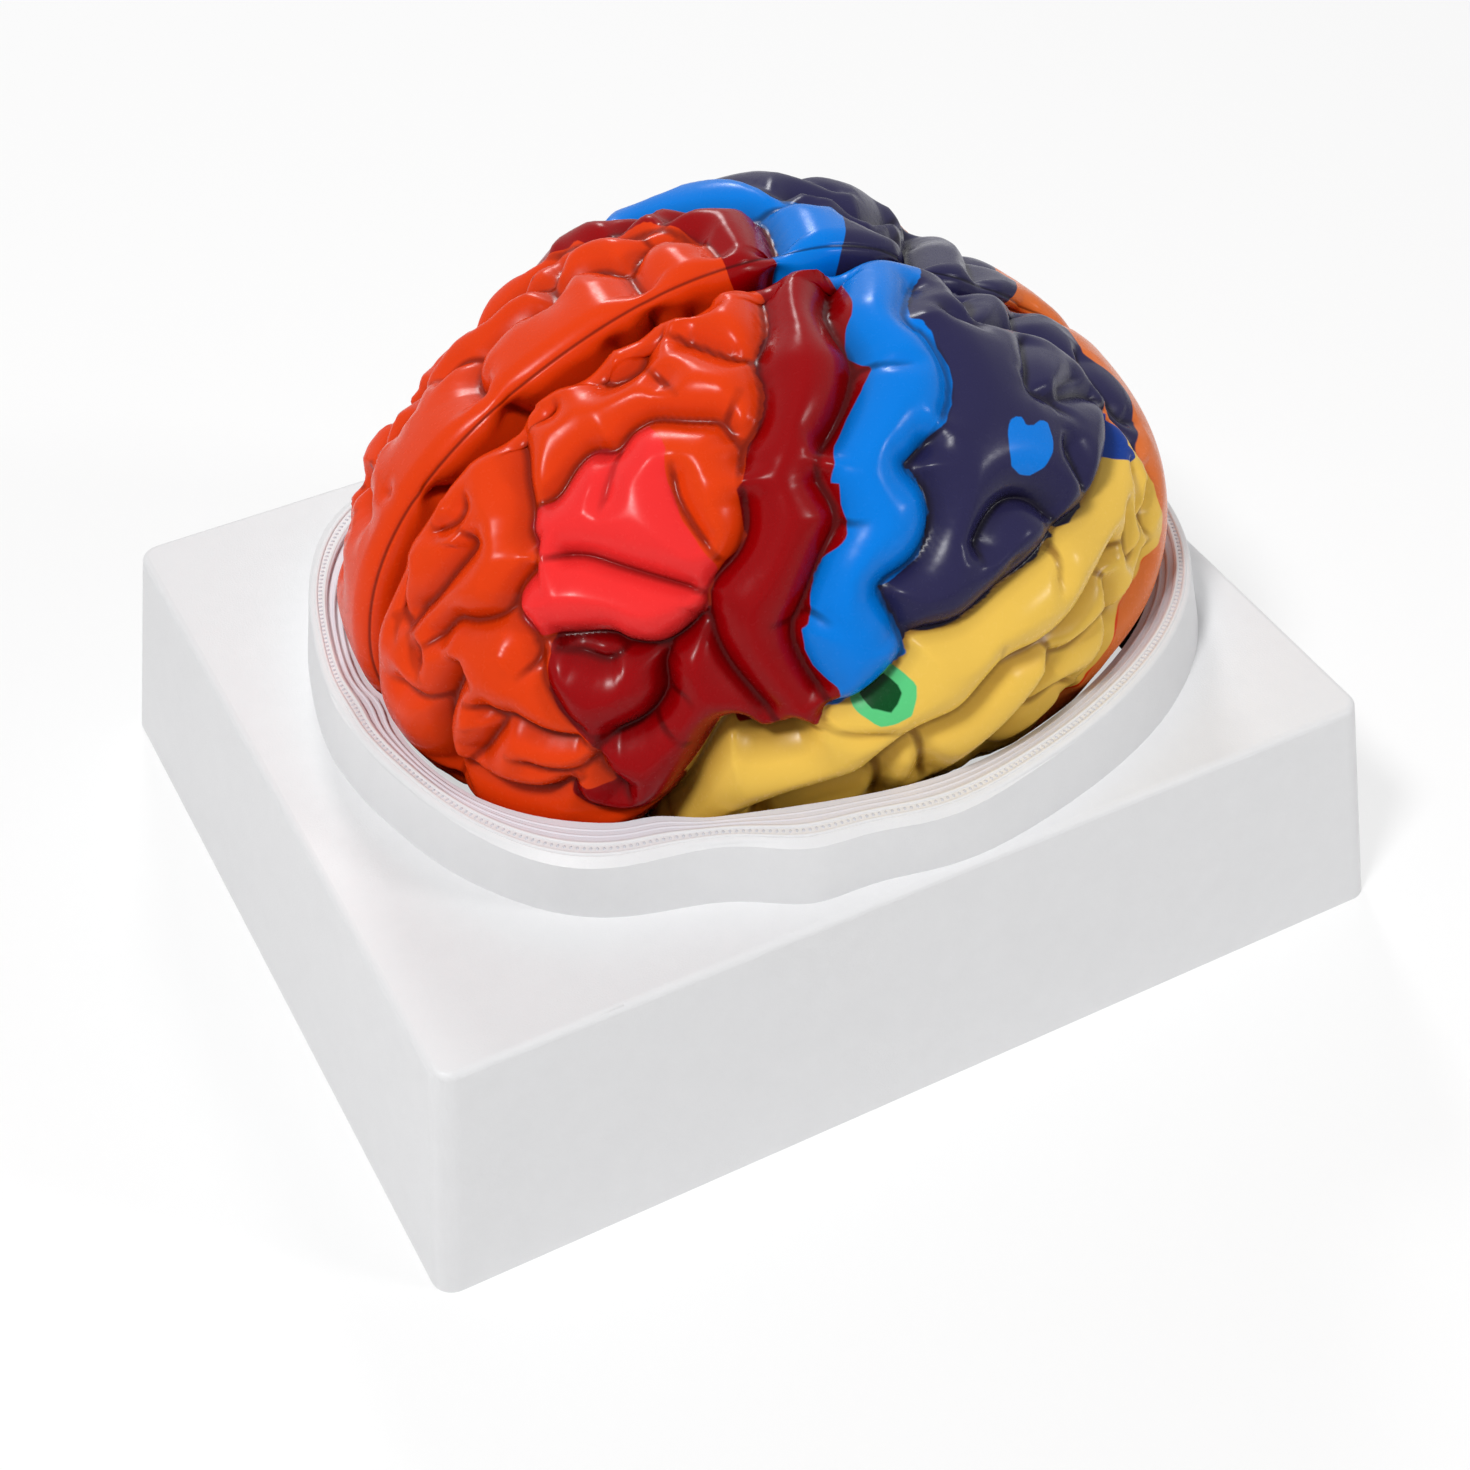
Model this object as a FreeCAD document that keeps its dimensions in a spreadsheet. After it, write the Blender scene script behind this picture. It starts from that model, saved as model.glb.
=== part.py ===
import FreeCAD, Part
import math
import os
import Sketcher

# A brain model in two halves that lift out of a moulded display stand.
# Units are millimetres and degrees. The origin is under the middle of the stand, on the surface that
# it stands on. +X runs from the frontal pole to the occipital pole, the left half is at -Y, +Z is up.
#
# Places on the brain are given by two angles about the centre of its form: the station runs from 0 at
# the frontal pole to 180 at the occipital pole, and the roll from 0 at the top to 180 underneath.

SIZES = (
    ("centre_height", 80.1, "height of the centre of the brain form"),
    ("front_reach", 93.1, "brain centre to the frontal pole"),
    ("rear_reach", 83.8, "brain centre to the occipital pole"),
    ("half_breadth", 65.7, "brain centre to the side"),
    ("crown_rise", 64.0, "brain centre to the crown"),
    ("floor_drop", 55.0, "brain centre to the underside"),
    ("plan_power", 2.6, "squareness of the form seen from above"),
    ("side_power", 2.1, "squareness of the form seen from the side"),
    ("fissure_gap", 3.4, "width of the fissure between the halves"),
    ("lower_gap", 0.6, "width of the gap between the halves underneath"),
    ("crest_radius", 5.5, "rounding where the outer form meets the inner face"),
    ("contact_length", 100.0, "length of the flat field where the halves meet"),
    ("contact_height", 56.0, "height of the flat field where the halves meet"),
    ("sulcus_depth", 5.4, "depth of a main sulcus"),
    ("sulcus_reach", 7.0, "distance from a main sulcus to the crown of its gyrus"),
    ("peg_radius", 3.0, "radius of a locating peg"),
    ("peg_length", 14.0, "length of a locating peg"),
    ("peg_spacing", 60.0, "distance between the two pegs"),
    ("peg_clearance", 0.15, "clearance round and beyond a peg in its socket"),
    ("stand_height", 53.1, "height of the stand under its collar"),
    ("stand_draft", 7.3, "how far each side leans in over the stand's height"),
    ("front_shoulder", 13.8, "stand top in front of the collar"),
    ("rear_shoulder", 3.2, "stand top behind the collar"),
    ("side_shoulder", 1.7, "stand top beside the collar"),
    ("corner_radius", 4.5, "vertical corners of the stand"),
    ("edge_radius", 1.6, "rounding of the stand's top edge"),
    ("stand_wall", 2.6, "wall of the stand"),
    ("collar_height", 13.9, "height of the collar over the stand top"),
    ("collar_band", 8.6, "collar from the opening's edge to its rim, where it is plain"),
    ("collar_flare", 2.4, "how far the collar's foot stands out from its rim"),
    ("collar_round", 1.2, "rounding of the collar's outer rim"),
    ("terrace_width", 1.6, "width of one terrace round the opening"),
    ("terrace_rise", 1.0, "height of one terrace round the opening"),
    ("opening_clearance", 0.4, "clearance of the opening round the brain"),
)
TERRACE_COUNT = 3

DOC = FreeCAD.newDocument("brain_model")
SHEET = DOC.addObject("Spreadsheet::Sheet", "Sizes")
for row, (alias, value, note) in enumerate(SIZES, start=1):
    SHEET.set("A%d" % row, note)
    SHEET.set("B%d" % row, str(value))
    SHEET.setAlias("B%d" % row, alias)
DOC.recompute()


def size(alias):
    """The value of one cell of the sheet."""
    return float(SHEET.get(alias))


# Swellings and hollows of the smooth form: azimuth from the frontal pole towards the side, elevation,
# amount as a share of the half breadth (negative for a hollow) and spread in degrees. The last is the
# stump of the stem.
SWELLINGS = (
    (0, 10, -0.067, 28),
    (20, 45, -0.064, 28),
    (90, 85, -0.030, 28),
    (125, 40, 0.059, 28),
    (175, 40, -0.157, 28),
    (170, 5, 0.018, 28),
    (95, 0, 0.107, 28),
    (45, 15, -0.091, 28),
    (60, 50, 0.065, 28),
    (150, 20, -0.052, 28),
    (180, -78, 0.137, 13),
)

# Depth classes of the sulci: depth and reach as shares of a main sulcus.
FISSURE = (1.75, 1.25)
DEEP = (1.25, 1.15)
MAIN = (1.0, 1.0)
SHALLOW = (0.6, 0.75)
CREASE = (0.35, 0.5)

# Sulci of the side of both halves: depth class, then (station, roll) points in degrees.
SIDE_SULCI = {
    "lateral_fissure": (FISSURE, [(46, 108), (47, 103), (50, 96), (52, 90), (54.5, 84), (57, 82),
        (60.5, 84.8), (65, 84.5), (69, 83)]),
    "lateral_fissure_rear": (MAIN, [(69, 83), (71, 80.6), (75, 80), (79, 77.5), (82.5, 74), (84, 71.3),
        (91, 71.5), (98, 68.7), (105, 66.5), (110, 63.7), (117, 62.7), (124, 59.3), (128, 56.5),
        (133, 51.5), (137, 48.5)]),
    "central_lower": (MAIN, [(77, 42.5), (76.5, 45.5), (77.3, 51.5), (73.5, 56.5), (69.5, 62.5),
        (67.2, 66.5), (68, 72.5), (71, 79.5)]),
    "precentral_lower": (MAIN, [(66, 42), (65, 48), (62.5, 52), (58.5, 55), (56.8, 58), (56.4, 64),
        (57.6, 70), (60.5, 76.5), (63.5, 82)]),
    "pink_lower_edge": (DEEP, [(56.8, 58.5), (53.5, 62.2), (49, 64.3), (45.2, 62.5), (43, 60), (38, 58.3),
        (35, 57.8)]),
    "pink_middle": (MAIN, [(38.5, 41.8), (43, 44.3), (46.8, 48.3), (51, 52.3), (57, 57.3)]),
    "pink_front_edge": (MAIN, [(38.5, 41.8), (34.5, 45.3), (33, 50), (34.6, 56), (34.8, 61), (33, 64)]),
    "inferior_frontal_fold": (MAIN, [(20, 53.4), (22.5, 51), (25.2, 48.2), (28, 50.1), (31.5, 50.2),
        (34, 46)]),
    "front_pole_fold": (SHALLOW, [(17.7, 47.5), (17.4, 54), (17, 60), (17, 67)]),
    "front_pole_island": (CREASE, [(16, 45.5), (15.5, 50), (15, 58), (15.5, 63)]),
    "front_side_groove": (DEEP, [(26.2, 58.5), (24, 64), (21.6, 71.5), (20.2, 80), (20, 90), (20.4, 99),
        (21.3, 112)]),
    "front_low_crease": (SHALLOW, [(10, 71), (13.5, 75), (17, 76.2), (20.3, 73.5)]),
    "orbital_hook": (MAIN, [(25.3, 70.8), (28, 73.6), (29.3, 75.8), (27.6, 81), (25.7, 87),
        (23.8, 92.5)]),
    "orbital_upper": (MAIN, [(28.5, 73), (31, 75.3), (34.5, 79), (40, 81)]),
    "orbital_bulge": (SHALLOW, [(29.5, 85.5), (32, 88), (36, 88.7), (39, 86.5), (40, 81)]),
    "orbital_lower": (MAIN, [(21.5, 93), (24, 95.9), (29, 96.3), (34, 94.5), (36.5, 91), (38.5, 88.3)]),
    "opercular_edge": (SHALLOW, [(34.8, 61), (34.7, 66), (35.6, 71.5), (37.2, 77), (40, 81)]),
    "opercular_pocket": (MAIN, [(37, 60.3), (40, 62.5), (42.5, 64.6), (45, 63)]),
    "ascending_ramus": (DEEP, [(51, 63.5), (49, 67.5), (48.6, 73), (46, 77.5), (42, 80), (40, 81.5)]),
    "opercular_crease_a": (CREASE, [(48.8, 74), (50.8, 74.8), (52.3, 77)]),
    "opercular_crease_b": (CREASE, [(46, 79), (48, 81.5), (50.5, 85)]),
    "triangular_edge": (MAIN, [(40.2, 81.5), (40.3, 86.5), (42, 90.3), (44.5, 94.5)]),
    "triangular_bottom": (SHALLOW, [(37.2, 90), (36.3, 93), (38.3, 97.8), (42, 99.9), (46.5, 99.2),
        (49.5, 95.5)]),
    "central_branch": (CREASE, [(64.5, 65.2), (67.5, 65.5), (70, 64.4), (73.5, 67.5)]),
    "postcentral_crease": (CREASE, [(77.5, 52), (79.5, 53.2), (82, 53.8)]),
    "postcentral_lower": (MAIN, [(96, 44), (91, 47), (89.6, 47.8), (91.3, 52), (90.3, 57), (86.5, 61),
        (81, 63.2), (81.8, 68), (82.7, 73)]),
    "supramarginal_arch": (MAIN, [(95.3, 64), (96.8, 60.7), (100.5, 57.6), (104, 57), (107.5, 59),
        (110, 63.3)]),
    "supramarginal_crease": (CREASE, [(105, 65.2), (102, 66), (99, 68)]),
    "angular_crease": (SHALLOW, [(115.2, 50.3), (116.3, 55), (117.4, 59), (117.8, 62.5)]),
    "angular_notch": (SHALLOW, [(112, 43), (115.5, 43.8), (118, 46), (119.3, 49.3)]),
    "angular_top": (SHALLOW, [(118, 45), (123, 45.3), (129, 45.7), (134, 47.2), (137, 48.5)]),
    "parietal_fold": (CREASE, [(119, 44.3), (123, 43.2), (128, 42.2), (133, 42)]),
    "occipital_edge": (MAIN, [(137, 48.5), (141, 50.5), (143.6, 55), (144, 61), (143.3, 66)]),
    "occipital_outer": (SHALLOW, [(153, 27), (151, 32.5), (148.3, 40), (146.8, 48), (148, 55),
        (152, 58)]),
    "superior_temporal": (MAIN, [(59.5, 106), (61, 101), (65, 98.3), (71, 96.2), (76, 94.2), (80, 90),
        (84, 87.3), (90, 85.6), (95, 81.5), (98, 80), (104, 80), (110, 78.7), (116, 75), (120.5, 72.6),
        (125, 72.6)]),
    "temporal_rise": (CREASE, [(70.5, 84.5), (74, 86.4), (77.5, 87), (82, 87.6)]),
    "temporal_cross_a": (SHALLOW, [(78.2, 92.5), (78.7, 97), (79.5, 105)]),
    "temporal_cross_b": (SHALLOW, [(84, 88), (84.9, 93.5), (86.3, 100.5)]),
    "temporal_notch": (CREASE, [(97.6, 76.3), (97, 80)]),
    "middle_temporal": (MAIN, [(86, 105), (91, 100.5), (96.5, 95.3), (101, 91.2), (105.5, 87),
        (107, 84.6), (105.5, 80.5)]),
    "middle_temporal_branch": (SHALLOW, [(107, 84.8), (112, 84.9), (117, 84.5), (121, 83.5)]),
    "middle_temporal_rear": (MAIN, [(118.5, 75.3), (120.6, 79), (121.3, 83.5), (123.5, 87.3), (127, 89.3),
        (133, 89.8), (138.5, 88), (141.5, 85)]),
    "inferior_temporal": (SHALLOW, [(122.6, 86), (123.9, 90), (122, 94.5), (118, 96.6), (116, 97.2)]),
    "inferior_temporal_front": (SHALLOW, [(100.5, 91.8), (105, 93), (110, 92.3), (113.5, 94.5),
        (116, 97.2)]),
    "inferior_temporal_edge": (MAIN, [(93, 98.5), (95.5, 98.5), (98.5, 101.2), (104, 101.5), (111, 100),
        (116, 97.2)]),
    "occipital_fold_a": (SHALLOW, [(128.6, 65.5), (127.5, 71), (127.8, 77), (130.5, 80), (134, 80),
        (136, 77)]),
    "occipital_fold_b": (SHALLOW, [(135, 60), (134.9, 66), (134, 71), (135.5, 75.5), (140, 75.6),
        (145.5, 72)]),
    "occipital_fold_c": (SHALLOW, [(143.3, 66), (145.5, 71.5), (141, 76), (140.2, 80.5), (141.6, 85)]),
    "temporal_ripple": (CREASE, [(110.2, 64), (109.6, 69), (107.9, 74)]),
}

# Sulci of the top of the left half.
LEFT_TOP_SULCI = {
    "central_upper": (DEEP, [(97.5, 4), (97.3, 9), (94.5, 14), (91, 19), (89.8, 24), (89.3, 30), (86, 35),
        (81.5, 39.3), (77, 42.5)]),
    "precentral_upper": (MAIN, [(85, 6), (82.5, 12), (79.5, 19.3), (75.5, 24.3), (74, 30), (71.5, 34.5),
        (68, 37.5), (66, 42)]),
    "postcentral_upper": (SHALLOW, [(112, 14.5), (106, 20), (101.5, 25), (102.7, 29.5), (102, 36),
        (99.5, 41), (96, 44)]),
    "pink_upper_edge": (MAIN, [(38.7, 31), (42, 30.6), (45.5, 27), (48.5, 25.9), (51.5, 28), (54.5, 26),
        (58, 26), (62, 28.8), (66.5, 31.8), (67.3, 34.5), (68, 37.5)]),
    "pink_crease": (CREASE, [(51.6, 28.5), (49, 33.5), (46.3, 38.5)]),
    "orange_gyrus_edge": (SHALLOW, [(58.3, 34), (57.2, 40), (57.9, 46), (59.5, 52)]),
    "pink_branch": (CREASE, [(66.8, 32), (69.3, 29.8), (71, 28)]),
    "frontal_long": (MAIN, [(38.2, 4), (39.5, 11), (40.2, 17), (39, 24), (38.3, 31), (37.3, 36),
        (38.5, 41.8)]),
    "frontal_cross": (SHALLOW, [(52.4, 3), (53.8, 10), (55, 14.7), (60, 14.7), (62.5, 10.5),
        (66.5, 6.7)]),
    "frontal_dimple_a": (SHALLOW, [(42, 13.6), (44.5, 12.3), (46.4, 12), (46.8, 8)]),
    "frontal_dimple_b": (SHALLOW, [(24.2, 13), (24.8, 18.5), (26.7, 22.1), (29.3, 22.5), (31.7, 17)]),
    "frontal_valley": (SHALLOW, [(60.5, 16), (61.5, 19.5), (62.8, 24)]),
    "frontal_wedge": (MAIN, [(66, 12), (68.7, 15.8), (71.5, 20.2), (75.3, 24.5)]),
    "frontal_notch": (SHALLOW, [(73.5, 3), (73.8, 8), (75.5, 10.3)]),
    "frontal_fold": (MAIN, [(29.7, 27), (30.1, 31.5), (26, 35.5), (22.5, 39), (19.3, 41), (17.7, 47.5)]),
    "front_edge_fold": (SHALLOW, [(17.5, 12), (16.7, 19), (15.5, 27), (15.3, 35), (16, 42),
        (17.7, 47.5)]),
    "front_inner_fold": (CREASE, [(11.8, 32), (13, 38), (12.6, 44), (13.3, 52)]),
    "parietal_vee": (SHALLOW, [(108.3, 23.3), (111, 26), (113.8, 28.2), (116.5, 29.4)]),
    "parietal_ring": (MAIN, [(113.8, 28), (118, 26.7), (126, 26.2), (132, 25.8), (137.5, 27.5),
        (142.5, 32), (144.3, 37), (142.5, 42), (137, 48)]),
    "parietal_long": (MAIN, [(114.5, 27), (118.5, 23.5), (122.5, 17.3), (126.5, 10.5), (129.3, 4.5),
        (130.5, 0)]),
    "parietal_side": (CREASE, [(119, 24.3), (122, 22), (125.5, 19), (130.5, 12)]),
    "parietal_rear": (SHALLOW, [(135.5, 26), (140, 20), (144, 13.8), (148, 6), (149, 2)]),
    "intraparietal": (SHALLOW, [(112.3, 42.9), (116, 40.3), (120, 36.2), (127, 30.3)]),
    "postcentral_pinch": (CREASE, [(89.5, 30.4), (92.5, 31.3), (95.5, 32.8), (98, 34)]),
}

# Sulci of the top of the right half.
RIGHT_TOP_SULCI = {
    "central_upper": (DEEP, [(93.3, 0), (94.6, 5), (95.3, 12), (94.3, 18.5), (93.2, 23), (92.3, 28),
        (88, 34), (81.5, 39.3), (77, 42.5)]),
    "precentral_upper": (SHALLOW, [(83, 3.5), (82.3, 8.5), (79.3, 15), (76.5, 18.5), (73, 23), (70.5, 29),
        (68, 37.5), (66, 42)]),
    "postcentral_upper": (SHALLOW, [(107.3, 19), (105.8, 24), (104.7, 29), (103, 36), (99.5, 41),
        (96, 44)]),
    "postcentral_pinch": (SHALLOW, [(95.8, 16.5), (98.5, 19.2), (103, 19), (107.3, 18.8), (112, 16.8)]),
    "precentral_pair": (MAIN, [(79, 15.3), (82.5, 18.8), (86, 20), (90.3, 17.2), (93.7, 13.5)]),
    "precentral_arch": (MAIN, [(71.5, 24.5), (75, 26.3), (80, 29.8), (85, 33)]),
    "frontal_round_a": (MAIN, [(68, 3), (68, 8.5), (71.5, 11.3), (75, 12), (79.5, 10.5), (82.3, 7.8)]),
    "frontal_round_b": (MAIN, [(57, 12.5), (60.5, 15.6), (64.5, 13.7), (68, 8.5)]),
    "frontal_round_c": (MAIN, [(57.6, 18.5), (60, 21.5), (64, 25.3), (69, 23.8), (73.3, 18.3),
        (74.2, 13)]),
    "frontal_round_d": (MAIN, [(39, 6), (38.7, 11), (41.5, 14.4), (43.8, 15.3), (48.5, 15.9), (53, 14.6),
        (55.4, 10.5)]),
    "frontal_round_e": (MAIN, [(47.3, 31), (47.7, 27.5), (53, 26), (57, 21.7), (57.6, 18), (55.4, 10.5)]),
    "frontal_knob": (SHALLOW, [(36, 19), (37.8, 22.2), (40.3, 22.3), (42.5, 18.7), (43.8, 15.3)]),
    "frontal_arch": (MAIN, [(28.5, 20), (30.5, 22.8), (33, 26), (35, 32), (40, 37.3), (46, 40),
        (52, 37.5), (56.5, 31), (58, 27)]),
    "frontal_front": (MAIN, [(17.4, 18), (18.3, 26.5), (22, 33.8), (25.5, 31), (28.8, 25), (28.5, 20)]),
    "frontal_nick": (CREASE, [(20.7, 12), (21.6, 17.5)]),
    "frontal_small": (CREASE, [(34.8, 30.5), (36.5, 27), (37.4, 24)]),
    "pink_upper_edge": (MAIN, [(38.5, 41.8), (44, 40.5), (50, 39.5), (57, 38), (63, 36), (68, 37.5)]),
    "frontal_bridge": (SHALLOW, [(22, 34), (24, 41), (25.2, 48.2)]),
    "parietal_curl": (MAIN, [(112, 17), (115.5, 15.5), (119.5, 13.5), (124, 15.8), (129, 20.5),
        (132, 25.5)]),
    "parietal_zig": (MAIN, [(106, 24.2), (109, 28), (113, 27), (116.5, 26), (121, 22.3), (125, 25.5),
        (130, 32), (134, 38)]),
    "parieto_occipital": (DEEP, [(126.5, -2), (128.7, 5), (130.7, 12), (133.3, 20), (135.3, 28),
        (138, 38), (137, 48.5)]),
    "parietal_rear": (SHALLOW, [(143.5, 3), (144.7, 11), (146.5, 19), (147.5, 30), (146.8, 48)]),
    "intraparietal": (SHALLOW, [(112.3, 42.9), (114, 37), (118, 33), (122, 31)]),
}

# Sulci of the inner face: (station in degrees, depth under the crest in mm).
WALL_SULCI = {
    "cingulate": (MAIN, [(14, 20), (30, 22), (50, 22), (70, 23), (90, 23), (108, 20), (120, 12),
        (127, 3)]),
    "wall_a": (SHALLOW, [(22, 3), (24, 20)]),
    "wall_b": (SHALLOW, [(39, 2), (38, 20)]),
    "wall_c": (CREASE, [(58, 4), (59, 20)]),
    "wall_d": (SHALLOW, [(68, 3), (66, 12), (67, 21)]),
    "wall_e": (CREASE, [(75, 6), (73, 18)]),
    "wall_f": (SHALLOW, [(94, 3), (92, 22)]),
    "parieto_occipital": (DEEP, [(127, 2), (123, 18), (119, 32)]),
    "calcarine": (MAIN, [(160, 3), (148, 14), (132, 26)]),
}# Sulci of the underside, as stations and rolls
UNDER_SULCI = {
    "transverse": (FISSURE, ((166, 178), (158, 150), (146, 134), (132, 124), (118, 122), (107, 127),
                             (101, 140), (98, 158), (97, 176))),
    "sylvian_stem": (DEEP, ((47, 102), (45, 115), (50, 128), (58, 142), (66, 156))),
    "olfactory": (MAIN, ((16, 165), (26, 162), (38, 160), (50, 160))),
    "orbital_outer": (MAIN, ((18, 118), (26, 122), (35, 128), (42, 136))),
    "orbital_inner": (SHALLOW, ((22, 140), (31, 142), (40, 148))),
    "temporal_lower": (MAIN, ((52, 112), (64, 113), (78, 110), (92, 108), (104, 110))),
    "temporal_base": (MAIN, ((62, 128), (74, 128), (86, 124), (98, 124))),
    "temporal_inner": (SHALLOW, ((72, 145), (82, 142), (92, 140))),
    "occipital_lower": (SHALLOW, ((126, 108), (138, 110), (150, 116))),
    "pons_upper": (MAIN, ((94, 160), (88, 168), (86, 179))),
}

# Folia of the small brain behind the stem: lines round it, evenly spaced below the transverse fissure
FOLIA_COUNT = 5
FOLIA_FIRST = 152.0
FOLIA_STEP = -9.0
FOLIUM_SWEEP = ((4, 176), (0, 160), (-6, 146), (-14, 136))
for number in range(FOLIA_COUNT):
    start = FOLIA_FIRST + FOLIA_STEP * number
    UNDER_SULCI["folium_%d" % (number + 1)] = (CREASE, [(start + turn, roll) for turn, roll in FOLIUM_SWEEP])


FRONT_REACH = size("front_reach")
REAR_REACH = size("rear_reach")
HALF_BREADTH = size("half_breadth")
CROWN_RISE = size("crown_rise")
FLOOR_DROP = size("floor_drop")
PLAN_POWER = size("plan_power")
SIDE_POWER = size("side_power")
FISSURE_GAP = size("fissure_gap")
LOWER_GAP = size("lower_gap")
CREST_RADIUS = size("crest_radius")
CONTACT_X = size("contact_length") / 2
CONTACT_Z = size("contact_height") / 2
# The gap between the halves widens from its lower to its upper width between these upward directions.
GAP_START = -0.6
GAP_END = -0.1


def unit_direction(azimuth, elevation):
    """Unit direction on the left side, from an azimuth off the frontal pole and an elevation."""
    flat = math.cos(math.radians(elevation))
    return (-math.cos(math.radians(azimuth)) * flat,
            -math.sin(math.radians(azimuth)) * flat,
            math.sin(math.radians(elevation)))


def unit(vector):
    """The vector scaled to a length of one."""
    length = math.sqrt(sum(part * part for part in vector))
    return tuple(part / length for part in vector)


def smooth_step(value):
    """0 below 0, 1 above 1, and smooth between."""
    value = max(0.0, min(1.0, value))
    return value * value * (3 - 2 * value)


BUMPS = [(unit_direction(azimuth, elevation), amount * HALF_BREADTH, spread)
         for azimuth, elevation, amount, spread in SWELLINGS]


def form_radius(direction):
    """Distance from the centre to the smooth form along a unit direction; the form is symmetrical."""
    dx, dy, dz = direction
    length = FRONT_REACH if dx < 0 else REAR_REACH
    rise = CROWN_RISE if dz > 0 else FLOOR_DROP
    plan = (abs(dx) / length) ** PLAN_POWER + (abs(dy) / HALF_BREADTH) ** PLAN_POWER
    radius = (plan ** (SIDE_POWER / PLAN_POWER) + (abs(dz) / rise) ** SIDE_POWER) ** (-1 / SIDE_POWER)
    for (bx, by, bz), amount, spread in BUMPS:
        cosine = max(-1.0, min(1.0, dx * bx - abs(dy) * by + dz * bz))
        turn = math.degrees(math.acos(cosine)) / spread
        radius += amount * math.exp(-turn * turn)
    return radius


def form_point(station, roll):
    """Point of the smooth form on the left half, about the centre, at a station and a roll."""
    station = math.radians(station)
    roll = math.radians(roll)
    direction = (-math.cos(station),
                 -math.sin(station) * math.sin(roll),
                 math.sin(station) * math.cos(roll))
    radius = form_radius(direction)
    return tuple(radius * part for part in direction)


def half_gap(upward):
    """Distance from the mid-plane to the inner face: the fissure narrows underneath."""
    share = smooth_step((upward - GAP_START) / (GAP_END - GAP_START))
    return (LOWER_GAP + share * (FISSURE_GAP - LOWER_GAP)) / 2


def wall_point(station, depth):
    """Point of the inner face at a station, so deep under the crest."""
    station = math.radians(station)
    direction = (-math.cos(station), 0.0, math.sin(station))
    radius = form_radius(direction) - depth
    return (radius * direction[0], -half_gap(direction[2]), radius * direction[2])


# Carving of the sulci

CELL = 8.0
CURVE_STEPS = 2
END_FADE = 5.0
END_DEPTH = 0.25
BLEND_POWER = 3


def smooth_curve(points, steps):
    """Points along a Catmull-Rom curve through the given ones."""
    ends = [points[0]] + list(points) + [points[-1]]
    curve = [points[0]]
    for index in range(len(points) - 1):
        before, start, end, after = ends[index:index + 4]
        for step in range(1, steps + 1):
            part = step / steps
            curve.append(tuple(
                0.5 * (2 * b + (c - a) * part + (2 * a - 5 * b + 4 * c - d) * part ** 2
                       + (3 * b - a - 3 * c + d) * part ** 3)
                for a, b, c, d in zip(before, start, end, after)))
    return curve


class Carving:
    """The sulci of one half, kept as short chords in a grid of cells."""

    def __init__(self, tables):
        self.cells = {}
        depth = size("sulcus_depth")
        reach = size("sulcus_reach")
        number = 0
        for table, place in tables:
            for (depth_share, reach_share), points in table.values():
                curve = [place(*point) for point in smooth_curve(points, CURVE_STEPS)]
                self.add(number, curve, depth * depth_share, reach * reach_share)
                number += 1

    def add(self, number, curve, depth, reach):
        """Store one sulcus; its depth fades at both ends."""
        run = [0.0]
        for start, end in zip(curve, curve[1:]):
            run.append(run[-1] + math.dist(start, end))
        fade = [min(1.0, END_DEPTH + min(at, run[-1] - at) / END_FADE) for at in run]
        for index in range(len(curve) - 1):
            start, end = curve[index], curve[index + 1]
            chord = (number, start, end, fade[index] * depth, fade[index + 1] * depth, reach)
            low = [int((min(a, b) - reach) // CELL) for a, b in zip(start, end)]
            high = [int((max(a, b) + reach) // CELL) for a, b in zip(start, end)]
            for i in range(low[0], high[0] + 1):
                for j in range(low[1], high[1] + 1):
                    for k in range(low[2], high[2] + 1):
                        self.cells.setdefault((i, j, k), []).append(chord)

    def depth_at(self, point):
        """How deep the surface lies under the smooth form at a point."""
        px, py, pz = point
        cell = (int(px // CELL), int(py // CELL), int(pz // CELL))
        nearest = {}
        for number, (ax, ay, az), (bx, by, bz), depth_a, depth_b, reach in self.cells.get(cell, ()):
            ux, uy, uz = bx - ax, by - ay, bz - az
            length = ux * ux + uy * uy + uz * uz
            along = ((px - ax) * ux + (py - ay) * uy + (pz - az) * uz) / length
            along = max(0.0, min(1.0, along))
            qx, qy, qz = px - ax - along * ux, py - ay - along * uy, pz - az - along * uz
            share = math.sqrt(qx * qx + qy * qy + qz * qz) / reach
            if share < nearest.get(number, (1.0,))[0]:
                nearest[number] = (share, depth_a + along * (depth_b - depth_a))
        total = sum((depth * (0.5 + 0.5 * math.cos(math.pi * share))) ** BLEND_POWER
                    for share, depth in nearest.values())
        return total ** (1 / BLEND_POWER)


# Halves of the brain: a cap on the outer side, four faces of profiles that run down the outer form, over
# the crest and along the inner face, and the flat field where the halves meet

CAGE_DEPTH = 45.0
OUTER_SHARE = 0.60
CREST_SHARE = 0.12
CAP_X_COUNT = 44
CAP_Z_COUNT = 28
PROFILE_COUNT = 26
FLAT_MARGIN = 6.0
BISECTION_STEPS = 26


def knot_places(spans):
    """Even places of a clamped cubic's control points, from 0 to 1."""
    places = [0, 1 / 3] + list(range(1, spans)) + [spans - 1 / 3, spans]
    return [place / spans for place in places]


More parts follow.
